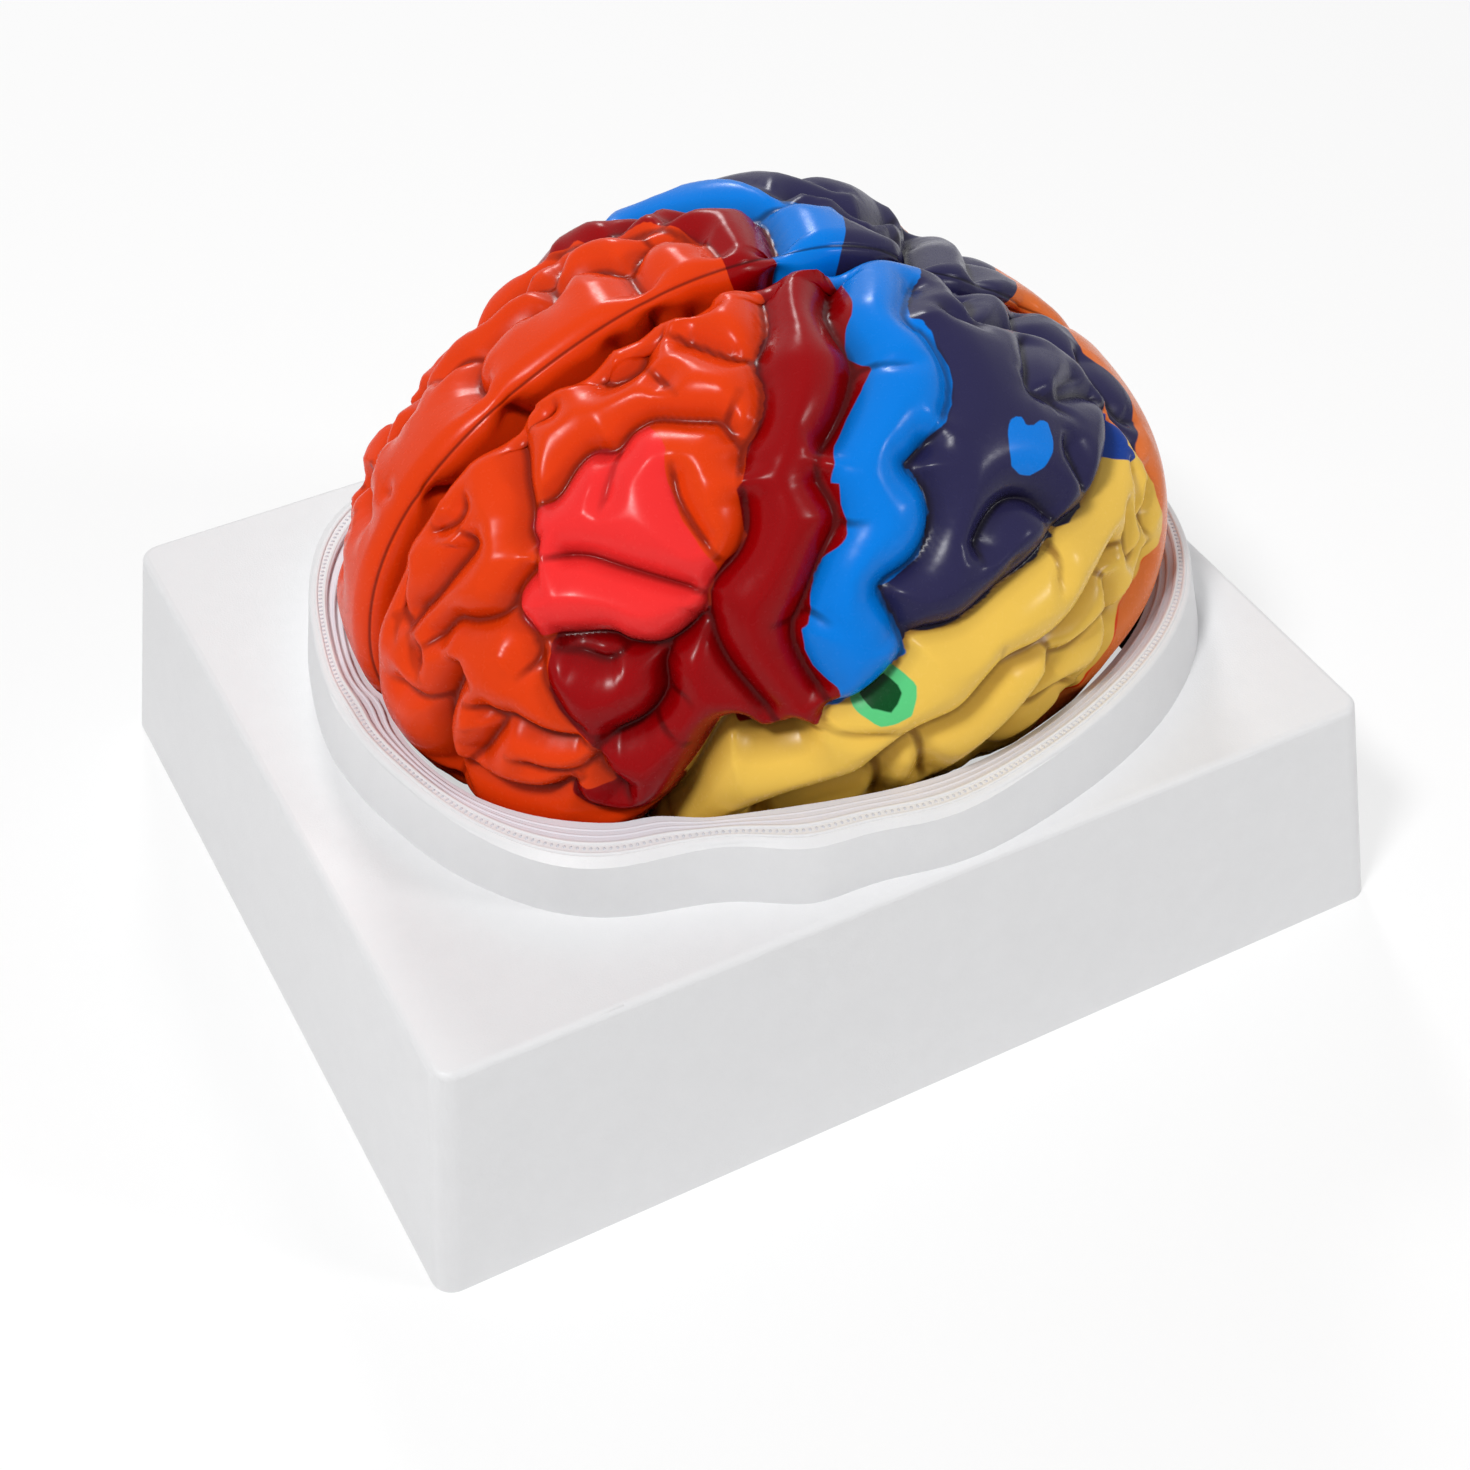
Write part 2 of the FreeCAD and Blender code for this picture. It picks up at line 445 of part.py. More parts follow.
class Profile:
    """One profile of a half: down the outer form, over the crest and along the inner face."""

    def __init__(self, rim_x, rim_z, carving):
        self.carving = carving
        self.rim = math.hypot(rim_x, rim_z)
        self.ux = rim_x / self.rim
        self.uz = rim_z / self.rim
        self.gap = half_gap(self.uz)
        self.start = math.atan2(self.rim, CAGE_DEPTH)
        low, high = self.start, math.pi / 2
        for _ in range(BISECTION_STEPS):
            middle = (low + high) / 2
            if self.outer(middle)[1] > self.gap + CREST_RADIUS:
                low = middle
            else:
                high = middle
        self.end = low
        self.crest = self.outer(self.end)[0] - CREST_RADIUS

    def outer(self, turn):
        """Reach from the cross axis and height over the mid-plane of the smooth form."""
        direction = (self.ux * math.sin(turn), -math.cos(turn), self.uz * math.sin(turn))
        radius = form_radius(direction)
        return radius * math.sin(turn), radius * math.cos(turn)

    def point(self, share):
        """Carved point of the profile, from 0 on the side to 1 at the flat field."""
        limit = 1.0
        if share < OUTER_SHARE:
            turn = self.start + (self.end - self.start) * share / OUTER_SHARE
            reach, height = self.outer(turn)
            inward = (-math.sin(turn), -math.cos(turn))
        elif share < OUTER_SHARE + CREST_SHARE:
            turn = math.pi / 2 * (share - OUTER_SHARE) / CREST_SHARE
            reach = self.crest + CREST_RADIUS * math.cos(turn)
            height = self.gap + CREST_RADIUS * (1 - math.sin(turn))
            inward = (-math.cos(turn), math.sin(turn))
        else:
            along = (share - OUTER_SHARE - CREST_SHARE) / (1 - OUTER_SHARE - CREST_SHARE)
            reach = self.crest + (self.rim - self.crest) * along
            limit = smooth_step((reach - self.rim) / FLAT_MARGIN)
            height = self.gap * limit
            inward = (0.0, 1.0)
        depth = limit * self.carving.depth_at((reach * self.ux, -height, reach * self.uz))
        reach += depth * inward[0]
        height += depth * inward[1]
        return (reach * self.ux, -height, reach * self.uz)


def cubic_face(grid, mirror, centre):
    """Cubic spline face over a grid of control points; each edge depends only on the points along it."""
    poles = [[FreeCAD.Vector(x + centre.x, mirror * y, z + centre.z) for x, y, z in row] for row in grid]
    spans = [len(poles) - 3, len(poles[0]) - 3]
    repeats = [[4] + [1] * (count - 1) + [4] for count in spans]
    knots = [list(range(count + 1)) for count in spans]
    surface = Part.BSplineSurface()
    surface.buildFromPolesMultsKnots(poles, repeats[0], repeats[1], knots[0], knots[1], False, False, 3, 3)
    return surface.toShape()


def half_solid(carving, mirror, centre):
    """One half of the brain as a closed solid."""
    across = [2 * place - 1 for place in knot_places(CAP_X_COUNT)]
    upward = [2 * place - 1 for place in knot_places(CAP_Z_COUNT)]
    shares = knot_places(PROFILE_COUNT)
    cap = []
    for s in across:
        row = []
        for t in upward:
            direction = unit((CONTACT_X * s, -CAGE_DEPTH, CONTACT_Z * t))
            radius = form_radius(direction)
            radius -= carving.depth_at(tuple(radius * part for part in direction))
            row.append(tuple(radius * part for part in direction))
        cap.append(row)
    faces = [cubic_face(cap, mirror, centre)]
    borders = ([(s, 1) for s in across], [(s, -1) for s in across],
               [(1, t) for t in upward], [(-1, t) for t in upward])
    for border in borders:
        grid = []
        for s, t in border:
            profile = Profile(CONTACT_X * s, CONTACT_Z * t, carving)
            grid.append([profile.point(share) for share in shares])
        faces.append(cubic_face(grid, mirror, centre))
    corners = [(-1, -1), (1, -1), (1, 1), (-1, 1), (-1, -1)]
    outline = [FreeCAD.Vector(centre.x + CONTACT_X * s, 0, centre.z + CONTACT_Z * t) for s, t in corners]
    faces.append(Part.Face(Part.makePolygon(outline)))
    skin = Part.makeCompound(faces)
    skin.sewShape()
    solid = Part.Solid(skin.Shells[0])
    if solid.Volume < 0:
        solid.reverse()
    return solid


# Outlines of the collar and the opening, worked out from the brain's section at the opening's edge

OUTLINE_COUNT = 96
LOWEST_ELEVATION = -80.0
STAND_HEIGHT = size("stand_height")
STAND_WALL = size("stand_wall")
RIM_HEIGHT = STAND_HEIGHT + size("collar_height")
EDGE_HEIGHT = RIM_HEIGHT - TERRACE_COUNT * size("terrace_rise")


def brain_section(drop):
    """Points of the smooth form on the level so far under its centre, once round."""
    points = []
    for index in range(OUTLINE_COUNT):
        azimuth = 360 * index / OUTLINE_COUNT
        low, high = LOWEST_ELEVATION, 0.0
        for _ in range(BISECTION_STEPS):
            middle = (low + high) / 2
            direction = unit_direction(azimuth, middle)
            if form_radius(direction) * direction[2] < -drop:
                low = middle
            else:
                high = middle
        radius = form_radius(direction)
        points.append((radius * direction[0], radius * direction[1]))
    return points


SECTION = brain_section(size("centre_height") - EDGE_HEIGHT)
COLLAR_BAND = size("collar_band")

# Waves of the collar on either side: azimuth from the frontal pole, amount outwards as a share of the
# band, and spread in degrees. The opening's edge reaches in between the frontal poles and under the
# lateral fissure.
OPENING_WAVES = ((0, -0.21, 3.5), (46, -0.19, 4))
RIM_WAVES = ((14, -0.15, 8), (37, 0.58, 11), (66, 0.49, 9), (86, 0.40, 13), (180, -0.21, 25))
FOOT_WAVES = ((34, -0.23, 12), (84, -0.19, 12), (130, 0.14, 22))


def wave(waves, azimuth):
    """Sum of the waves at an azimuth."""
    turn = min(azimuth, 360 - azimuth)
    total = sum(amount * math.exp(-((turn - place) / spread) ** 2) for place, amount, spread in waves)
    return total * COLLAR_BAND


def collar_outline(offset, flare=0.0):
    """The section grown outwards; its waves turn from the opening's into the rim's on the way out."""
    share = offset / COLLAR_BAND
    grown = []
    for index, (x, y) in enumerate(SECTION):
        before = SECTION[index - 1]
        after = SECTION[(index + 1) % OUTLINE_COUNT]
        nx, ny = unit((before[1] - after[1], after[0] - before[0]))
        if nx * x + ny * y < 0:
            nx, ny = -nx, -ny
        azimuth = 360 * index / OUTLINE_COUNT
        reach = size("opening_clearance") + offset + share * wave(RIM_WAVES, azimuth)
        reach += (1 - share) * wave(OPENING_WAVES, azimuth)
        if flare:
            reach += flare + wave(FOOT_WAVES, azimuth)
        grown.append((x + reach * nx, y + reach * ny))
    return grown


FOOT = collar_outline(COLLAR_BAND, size("collar_flare"))
RIM = collar_outline(COLLAR_BAND)
RIM_EDGE = collar_outline(COLLAR_BAND - size("collar_round"))

# The stand's top leaves its shoulders round the collar's foot, and its middle is the origin.
TOP_FRONT = min(x for x, y in FOOT) - size("front_shoulder")
TOP_REAR = max(x for x, y in FOOT) + size("rear_shoulder")
TOP_LENGTH = TOP_REAR - TOP_FRONT
TOP_BREADTH = 2 * (max(y for x, y in FOOT) + size("side_shoulder"))
CENTRE = FreeCAD.Vector(-(TOP_FRONT + TOP_REAR) / 2, 0, size("centre_height"))


def sketch_at(body, name, height):
    """An empty level sketch of the body; height is an expression."""
    level = [feature for feature in body.Origin.OriginFeatures if feature.Role == "XY_Plane"][0]
    sketch = body.newObject("Sketcher::SketchObject", name)
    sketch.AttachmentSupport = (level, [""])
    sketch.MapMode = "FlatFace"
    sketch.setExpression("AttachmentOffset.Base.z", height)
    return sketch


def ring_sketch(body, name, height, *outlines):
    """A level sketch with closed smooth outlines round the brain."""
    sketch = sketch_at(body, name, height)
    for outline in outlines:
        curve = Part.BSplineCurve()
        points = [FreeCAD.Vector(x + CENTRE.x, y, 0) for x, y in outline]
        curve.interpolate(Points=points, PeriodicFlag=True, Parameters=list(range(OUTLINE_COUNT + 1)))
        sketch.addGeometry(curve)
    return sketch


def plan_sketch(body, name, height, length, breadth):
    """A level rectangular sketch about the origin; length and breadth are expressions."""
    sketch = sketch_at(body, name, height)
    corners = [FreeCAD.Vector(x, y, 0) for x, y in ((-1, -1), (1, -1), (1, 1), (-1, 1))]
    for index in range(4):
        sketch.addGeometry(Part.LineSegment(corners[index], corners[(index + 1) % 4]))
        sketch.addConstraint(Sketcher.Constraint("Horizontal" if index % 2 == 0 else "Vertical", index))
    for index in range(4):
        sketch.addConstraint(Sketcher.Constraint("Coincident", index, 2, (index + 1) % 4, 1))
    sketch.addConstraint(Sketcher.Constraint("Symmetric", 0, 1, 2, 1, -1, 1))
    sketch.addConstraint(Sketcher.Constraint("DistanceX", 0, 1, 0, 2, 2.0))
    sketch.addConstraint(Sketcher.Constraint("DistanceY", 1, 1, 1, 2, 2.0))
    for name, expression in (("length", length), ("breadth", breadth)):
        sketch.renameConstraint(sketch.ConstraintCount - (2 if name == "length" else 1), name)
        sketch.setExpression("Constraints." + name, expression)
    return sketch


def pocket(body, name, sketch, depth, upwards=False):
    """A pocket of the given depth expression, down from the sketch or up from it."""
    feature = body.newObject("PartDesign::Pocket", name)
    feature.Profile = sketch
    feature.Reversed = upwards
    feature.setExpression("Length", depth)
    DOC.recompute()
    return feature


def rounding(body, name, edges, radius):
    """A fillet of the body's tip along the numbered edges; radius is an expression."""
    base = body.Tip
    feature = body.newObject("PartDesign::Fillet", name)
    feature.Base = (base, ["Edge%d" % number for number in edges])
    feature.setExpression("Radius", radius)
    DOC.recompute()
    return feature


def edges_where(shape, test):
    """Numbers of the edges whose lowest and highest levels pass a test."""
    found = []
    for number, edge in enumerate(shape.Edges, start=1):
        box = edge.BoundBox
        if test(box):
            found.append(number)
    return found


# Stand

LEVEL_TOLERANCE = 0.01


def make_stand():
    """The moulded stand with its collar, terraces, opening and hollow."""
    body = DOC.addObject("PartDesign::Body", "BaseStand")
    body.Label = "base_stand"
    lean = math.degrees(math.atan2(size("stand_draft"), STAND_HEIGHT))
    foot = plan_sketch(body, "StandFootSketch", "0 mm",
                       "%.6f mm + 2 * Sizes.stand_draft * 1 mm" % TOP_LENGTH,
                       "%.6f mm + 2 * Sizes.stand_draft * 1 mm" % TOP_BREADTH)
    block = body.newObject("PartDesign::Pad", "StandBlock")
    block.Profile = foot
    block.TaperAngle = -lean
    block.setExpression("Length", "Sizes.stand_height * 1 mm")
    DOC.recompute()

    upright = edges_where(block.Shape, lambda box: box.ZLength > STAND_HEIGHT - LEVEL_TOLERANCE)
    corners = rounding(body, "StandCorners", upright, "Sizes.corner_radius * 1 mm")
    top = edges_where(corners.Shape, lambda box: box.ZMin > STAND_HEIGHT - LEVEL_TOLERANCE)
    rounding(body, "StandTopEdge", top, "Sizes.edge_radius * 1 mm")

    shoulder = "(Sizes.stand_height + Sizes.collar_height - Sizes.collar_round) * 1 mm"
    rim = "(Sizes.stand_height + Sizes.collar_height) * 1 mm"
    collar = body.newObject("PartDesign::AdditiveLoft", "Collar")
    collar.Profile = ring_sketch(body, "CollarFootSketch", "Sizes.stand_height * 1 mm", FOOT)
    collar.Sections = [ring_sketch(body, "CollarShoulderSketch", shoulder, RIM),
                       ring_sketch(body, "CollarRimSketch", rim, RIM_EDGE)]
    collar.Ruled = True
    DOC.recompute()

    for step in range(1, TERRACE_COUNT + 1):
        offset = (TERRACE_COUNT + 1 - step) * size("terrace_width")
        ring = ring_sketch(body, "TerraceSketch%d" % step,
                           "(Sizes.stand_height + Sizes.collar_height) * 1 mm",
                           collar_outline(offset))
        pocket(body, "Terrace%d" % step, ring, "Sizes.terrace_rise * %d mm" % step)

    wall = size("stand_wall")
    hollow = pocket(body, "Hollow",
                    plan_sketch(body, "HollowSketch", "0 mm",
                                "%.6f mm + 2 * (Sizes.stand_draft - Sizes.stand_wall) * 1 mm" % TOP_LENGTH,
                                "%.6f mm + 2 * (Sizes.stand_draft - Sizes.stand_wall) * 1 mm" % TOP_BREADTH),
                    "(Sizes.stand_height - Sizes.stand_wall) * 1 mm", upwards=True)
    hollow.TaperAngle = -lean
    DOC.recompute()

    recess = ring_sketch(body, "RecessSketch", "(Sizes.stand_height - Sizes.stand_wall) * 1 mm",
                         collar_outline(COLLAR_BAND - wall), collar_outline(wall))
    pocket(body, "CollarRecess", recess,
           "(Sizes.collar_height - Sizes.terrace_rise * %d) * 1 mm" % TERRACE_COUNT, upwards=True)

    opening = ring_sketch(body, "OpeningSketch", "(Sizes.stand_height + Sizes.collar_height) * 1 mm",
                          collar_outline(0))
    pocket(body, "Opening", opening, "(Sizes.collar_height + Sizes.stand_wall + 1) * 1 mm")
    return body


# Halves of the brain

def make_half(side, mirror, top_table):
    """One half: the carved form less the sockets of the two pegs."""
    carving = Carving([(SIDE_SULCI, form_point), (top_table, form_point),
                       (UNDER_SULCI, form_point), (WALL_SULCI, wall_point)])
    form = DOC.addObject("Part::Feature", side + "Form")
    form.Shape = half_solid(carving, mirror, CENTRE)
    sockets = []
    for place, way in PEGS:
        socket = DOC.addObject("Part::Cylinder", side + place + "Socket")
        socket.setExpression("Radius", "(Sizes.peg_radius + Sizes.peg_clearance) * 1 mm")
        socket.setExpression("Height", "(Sizes.peg_length + 2 * Sizes.peg_clearance) * 1 mm")
        place_peg(socket, way, "Sizes.peg_length / 2 + Sizes.peg_clearance")
        sockets.append(socket)
    tool = DOC.addObject("Part::MultiFuse", side + "Sockets")
    tool.Shapes = sockets
    half = DOC.addObject("Part::Cut", side + "Half")
    half.Label = side.lower() + "_hemisphere"
    half.Base = form
    half.Tool = tool
    return half


# Locating pegs, half in each half of the brain

PEGS = (("Front", -1), ("Rear", 1))


def place_peg(cylinder, way, reach):
    """Lie a cylinder across the mid-plane, in front of or behind the centre."""
    cylinder.Placement = FreeCAD.Placement(FreeCAD.Vector(CENTRE.x, 0, 0),
                                           FreeCAD.Rotation(FreeCAD.Vector(1, 0, 0), 90))
    cylinder.setExpression("Placement.Base.x", "(%.6f + %d * Sizes.peg_spacing / 2) * 1 mm" % (CENTRE.x, way))
    cylinder.setExpression("Placement.Base.y", "(%s) * 1 mm" % reach)
    cylinder.setExpression("Placement.Base.z", "Sizes.centre_height * 1 mm")


def make_peg(place, way):
    """One peg."""
    peg = DOC.addObject("Part::Cylinder", place + "Peg")
    peg.Label = "locating_peg_" + place.lower()
    peg.setExpression("Radius", "Sizes.peg_radius * 1 mm")
    peg.setExpression("Height", "Sizes.peg_length * 1 mm")
    place_peg(peg, way, "Sizes.peg_length / 2")
    return peg


PIECES = [make_stand(), make_half("Left", 1, LEFT_TOP_SULCI), make_half("Right", -1, RIGHT_TOP_SULCI)]
PIECES += [make_peg(place, way) for place, way in PEGS]
DOC.recompute()

for thing in DOC.Objects:
    if "Invalid" in thing.State or "Error" in thing.State:
        raise RuntimeError("%s failed: %s" % (thing.Name, thing.State))
for piece in PIECES:
    if piece.Shape.isNull() or not piece.Shape.isValid() or len(piece.Shape.Solids) != 1:
        raise RuntimeError("%s has a faulty shape" % piece.Label)

os.makedirs("parts", exist_ok=True)
for piece in PIECES:
    piece.Shape.exportStep("parts/%s.step" % piece.Label)
    box = piece.Shape.BoundBox
    print("%s: %.1f x %.1f x %.1f mm, volume %.0f" % (piece.Label, box.XLength, box.YLength, box.ZLength,
                                                    piece.Shape.Volume))
print("brain centre at x %.2f, stand %.1f x %.1f mm" % (
    CENTRE.x, TOP_LENGTH + 2 * size("stand_draft"), TOP_BREADTH + 2 * size("stand_draft")))
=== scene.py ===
import math

import bmesh
import bpy
import numpy as np
from mathutils import Matrix, Vector


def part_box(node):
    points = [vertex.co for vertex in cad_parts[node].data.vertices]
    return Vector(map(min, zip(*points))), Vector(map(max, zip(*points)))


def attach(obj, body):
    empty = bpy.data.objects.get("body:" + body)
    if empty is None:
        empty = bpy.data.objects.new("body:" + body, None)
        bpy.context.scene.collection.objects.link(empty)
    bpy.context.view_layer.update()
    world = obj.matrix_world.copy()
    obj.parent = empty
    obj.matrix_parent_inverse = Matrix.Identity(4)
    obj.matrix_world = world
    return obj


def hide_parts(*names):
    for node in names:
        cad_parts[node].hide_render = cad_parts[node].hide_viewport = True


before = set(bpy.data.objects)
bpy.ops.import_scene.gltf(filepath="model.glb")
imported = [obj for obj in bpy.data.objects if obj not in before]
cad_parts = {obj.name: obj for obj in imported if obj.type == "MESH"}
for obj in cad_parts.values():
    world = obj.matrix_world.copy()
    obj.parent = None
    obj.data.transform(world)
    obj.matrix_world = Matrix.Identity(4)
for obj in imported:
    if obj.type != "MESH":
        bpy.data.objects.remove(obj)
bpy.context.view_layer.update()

bl_info = {
    "name": "Painted brain model",
    "version": (1, 0, 0),
    "blender": (4, 5, 0),
    "location": "View3D > Sidebar > Brain model",
    "description": "Dresses the two halves of a painted brain model and its white display stand",
    "category": "Add Mesh",
}

# The brain's form is told by stations and rolls, in degrees about the centre of the form. The station runs
# from 0 at the frontal pole to 180 at the occipital pole, the roll from 0 at the top to 180 underneath.
# Lengths on the form are millimetres.

MM = 0.001
STAND_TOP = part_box("base_stand")[1].z
PEG_LOW, PEG_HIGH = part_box("locating_peg_front")
REAR_PEG_LOW, REAR_PEG_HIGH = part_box("locating_peg_rear")
# The centre of the form lies midway between the two pegs.
CENTRE = Vector((
    (PEG_LOW.x + PEG_HIGH.x + REAR_PEG_LOW.x + REAR_PEG_HIGH.x) / 4,
    (PEG_LOW.y + PEG_HIGH.y) / 2,
    (PEG_LOW.z + PEG_HIGH.z) / 2,
))
# Guards against division by nothing, the raw block's tolerance, and a distance beyond every outline.
TINY = 1e-9
SMALL = 1e-6
FAR_AWAY = 1e9

# Depth classes of the grooves: depth and reach as shares of a main sulcus.
FISSURE = (1.75, 1.2)
DEEP = (1.3, 1.1)
MAIN = (1.0, 1.0)
SHALLOW = (0.65, 0.8)
CREASE = (0.4, 0.55)

# Sulci of the side of both halves: depth class, then (station, roll) points in degrees.
SIDE_SULCI = {
    "lateral_fissure": (FISSURE, [(46, 108), (47, 103), (50, 96), (52, 90), (54.5, 84), (57, 82),
        (60.5, 84.8), (65, 84.5), (69, 83)]),
    "lateral_fissure_rear": (MAIN, [(69, 83), (71, 80.6), (75, 80), (79, 77.5), (82.5, 74), (84, 71.3),
        (91, 71.5), (98, 68.7), (105, 66.5), (110, 63.7), (117, 62.7), (124, 59.3), (128, 56.5),
        (133, 51.5), (137, 48.5)]),
    "central_lower": (MAIN, [(77, 42.5), (76.5, 45.5), (77.3, 51.5), (73.5, 56.5), (69.5, 62.5),
        (67.2, 66.5), (68, 72.5), (71, 79.5)]),
    "precentral_lower": (MAIN, [(66, 42), (65, 48), (62.5, 52), (58.5, 55), (56.8, 58), (56.4, 64),
        (57.6, 70), (60.5, 76.5), (63.5, 82)]),
    "pink_lower_edge": (DEEP, [(56.8, 58.5), (53.5, 62.2), (49, 64.3), (45.2, 62.5), (43, 60), (38, 58.3),
        (35, 57.8)]),
    "pink_middle": (MAIN, [(38.5, 41.8), (43, 44.3), (46.8, 48.3), (51, 52.3), (57, 57.3)]),
    "pink_front_edge": (MAIN, [(38.5, 41.8), (34.5, 45.3), (33, 50), (34.6, 56), (34.8, 61), (33, 64)]),
    "inferior_frontal_fold": (MAIN, [(20, 53.4), (22.5, 51), (25.2, 48.2), (28, 50.1), (31.5, 50.2),
        (34, 46)]),
    "front_pole_fold": (SHALLOW, [(17.7, 47.5), (17.4, 54), (17, 60), (17, 67)]),
    "front_pole_island": (CREASE, [(16, 45.5), (15.5, 50), (15, 58), (15.5, 63)]),
    "front_side_groove": (DEEP, [(26.2, 58.5), (24, 64), (21.6, 71.5), (20.2, 80), (20, 90), (20.4, 99),
        (21.3, 112)]),
    "front_low_crease": (SHALLOW, [(10, 71), (13.5, 75), (17, 76.2), (20.3, 73.5)]),
    "orbital_hook": (MAIN, [(25.3, 70.8), (28, 73.6), (29.3, 75.8), (27.6, 81), (25.7, 87),
        (23.8, 92.5)]),
    "orbital_upper": (MAIN, [(28.5, 73), (31, 75.3), (34.5, 79), (40, 81)]),
    "orbital_bulge": (SHALLOW, [(29.5, 85.5), (32, 88), (36, 88.7), (39, 86.5), (40, 81)]),
    "orbital_lower": (MAIN, [(21.5, 93), (24, 95.9), (29, 96.3), (34, 94.5), (36.5, 91), (38.5, 88.3)]),
    "opercular_edge": (SHALLOW, [(34.8, 61), (34.7, 66), (35.6, 71.5), (37.2, 77), (40, 81)]),
    "opercular_pocket": (MAIN, [(37, 60.3), (40, 62.5), (42.5, 64.6), (45, 63)]),
    "ascending_ramus": (DEEP, [(51, 63.5), (49, 67.5), (48.6, 73), (46, 77.5), (42, 80), (40, 81.5)]),
    "opercular_crease_a": (CREASE, [(48.8, 74), (50.8, 74.8), (52.3, 77)]),
    "opercular_crease_b": (CREASE, [(46, 79), (48, 81.5), (50.5, 85)]),
    "triangular_edge": (MAIN, [(40.2, 81.5), (40.3, 86.5), (42, 90.3), (44.5, 94.5)]),
    "triangular_bottom": (SHALLOW, [(37.2, 90), (36.3, 93), (38.3, 97.8), (42, 99.9), (46.5, 99.2),
        (49.5, 95.5)]),
    "central_branch": (CREASE, [(64.5, 65.2), (67.5, 65.5), (70, 64.4), (73.5, 67.5)]),
    "postcentral_crease": (CREASE, [(77.5, 52), (79.5, 53.2), (82, 53.8)]),
    "postcentral_lower": (MAIN, [(96, 44), (91, 47), (89.6, 47.8), (91.3, 52), (90.3, 57), (86.5, 61),
        (81, 63.2), (81.8, 68), (82.7, 73)]),
    "supramarginal_arch": (MAIN, [(95.3, 64), (96.8, 60.7), (100.5, 57.6), (104, 57), (107.5, 59),
        (110, 63.3)]),
    "supramarginal_crease": (CREASE, [(105, 65.2), (102, 66), (99, 68)]),
    "angular_crease": (SHALLOW, [(115.2, 50.3), (116.3, 55), (117.4, 59), (117.8, 62.5)]),
    "angular_notch": (SHALLOW, [(112, 43), (115.5, 43.8), (118, 46), (119.3, 49.3)]),
    "angular_top": (SHALLOW, [(118, 45), (123, 45.3), (129, 45.7), (134, 47.2), (137, 48.5)]),
    "parietal_fold": (CREASE, [(119, 44.3), (123, 43.2), (128, 42.2), (133, 42)]),
    "occipital_edge": (MAIN, [(137, 48.5), (141, 50.5), (143.6, 55), (144, 61), (143.3, 66)]),
    "occipital_outer": (SHALLOW, [(153, 27), (151, 32.5), (148.3, 40), (146.8, 48), (148, 55),
        (152, 58)]),
    "superior_temporal": (MAIN, [(59.5, 106), (61, 101), (65, 98.3), (71, 96.2), (76, 94.2), (80, 90),
        (84, 87.3), (90, 85.6), (95, 81.5), (98, 80), (104, 80), (110, 78.7), (116, 75), (120.5, 72.6),
        (125, 72.6)]),
    "temporal_rise": (CREASE, [(70.5, 84.5), (74, 86.4), (77.5, 87), (82, 87.6)]),
    "temporal_cross_a": (SHALLOW, [(78.2, 92.5), (78.7, 97), (79.5, 105)]),
    "temporal_cross_b": (SHALLOW, [(84, 88), (84.9, 93.5), (86.3, 100.5)]),
    "temporal_notch": (CREASE, [(97.6, 76.3), (97, 80)]),
    "middle_temporal": (MAIN, [(86, 105), (91, 100.5), (96.5, 95.3), (101, 91.2), (105.5, 87),
        (107, 84.6), (105.5, 80.5)]),
    "middle_temporal_branch": (SHALLOW, [(107, 84.8), (112, 84.9), (117, 84.5), (121, 83.5)]),
    "middle_temporal_rear": (MAIN, [(118.5, 75.3), (120.6, 79), (121.3, 83.5), (123.5, 87.3), (127, 89.3),
        (133, 89.8), (138.5, 88), (141.5, 85)]),
    "inferior_temporal": (SHALLOW, [(122.6, 86), (123.9, 90), (122, 94.5), (118, 96.6), (116, 97.2)]),
    "inferior_temporal_front": (SHALLOW, [(100.5, 91.8), (105, 93), (110, 92.3), (113.5, 94.5),
        (116, 97.2)]),
    "inferior_temporal_edge": (MAIN, [(93, 98.5), (95.5, 98.5), (98.5, 101.2), (104, 101.5), (111, 100),
        (116, 97.2)]),
    "occipital_fold_a": (SHALLOW, [(128.6, 65.5), (127.5, 71), (127.8, 77), (130.5, 80), (134, 80),
        (136, 77)]),
    "occipital_fold_b": (SHALLOW, [(135, 60), (134.9, 66), (134, 71), (135.5, 75.5), (140, 75.6),
        (145.5, 72)]),
    "occipital_fold_c": (SHALLOW, [(143.3, 66), (145.5, 71.5), (141, 76), (140.2, 80.5), (141.6, 85)]),
    "temporal_ripple": (CREASE, [(110.2, 64), (109.6, 69), (107.9, 74)]),
}

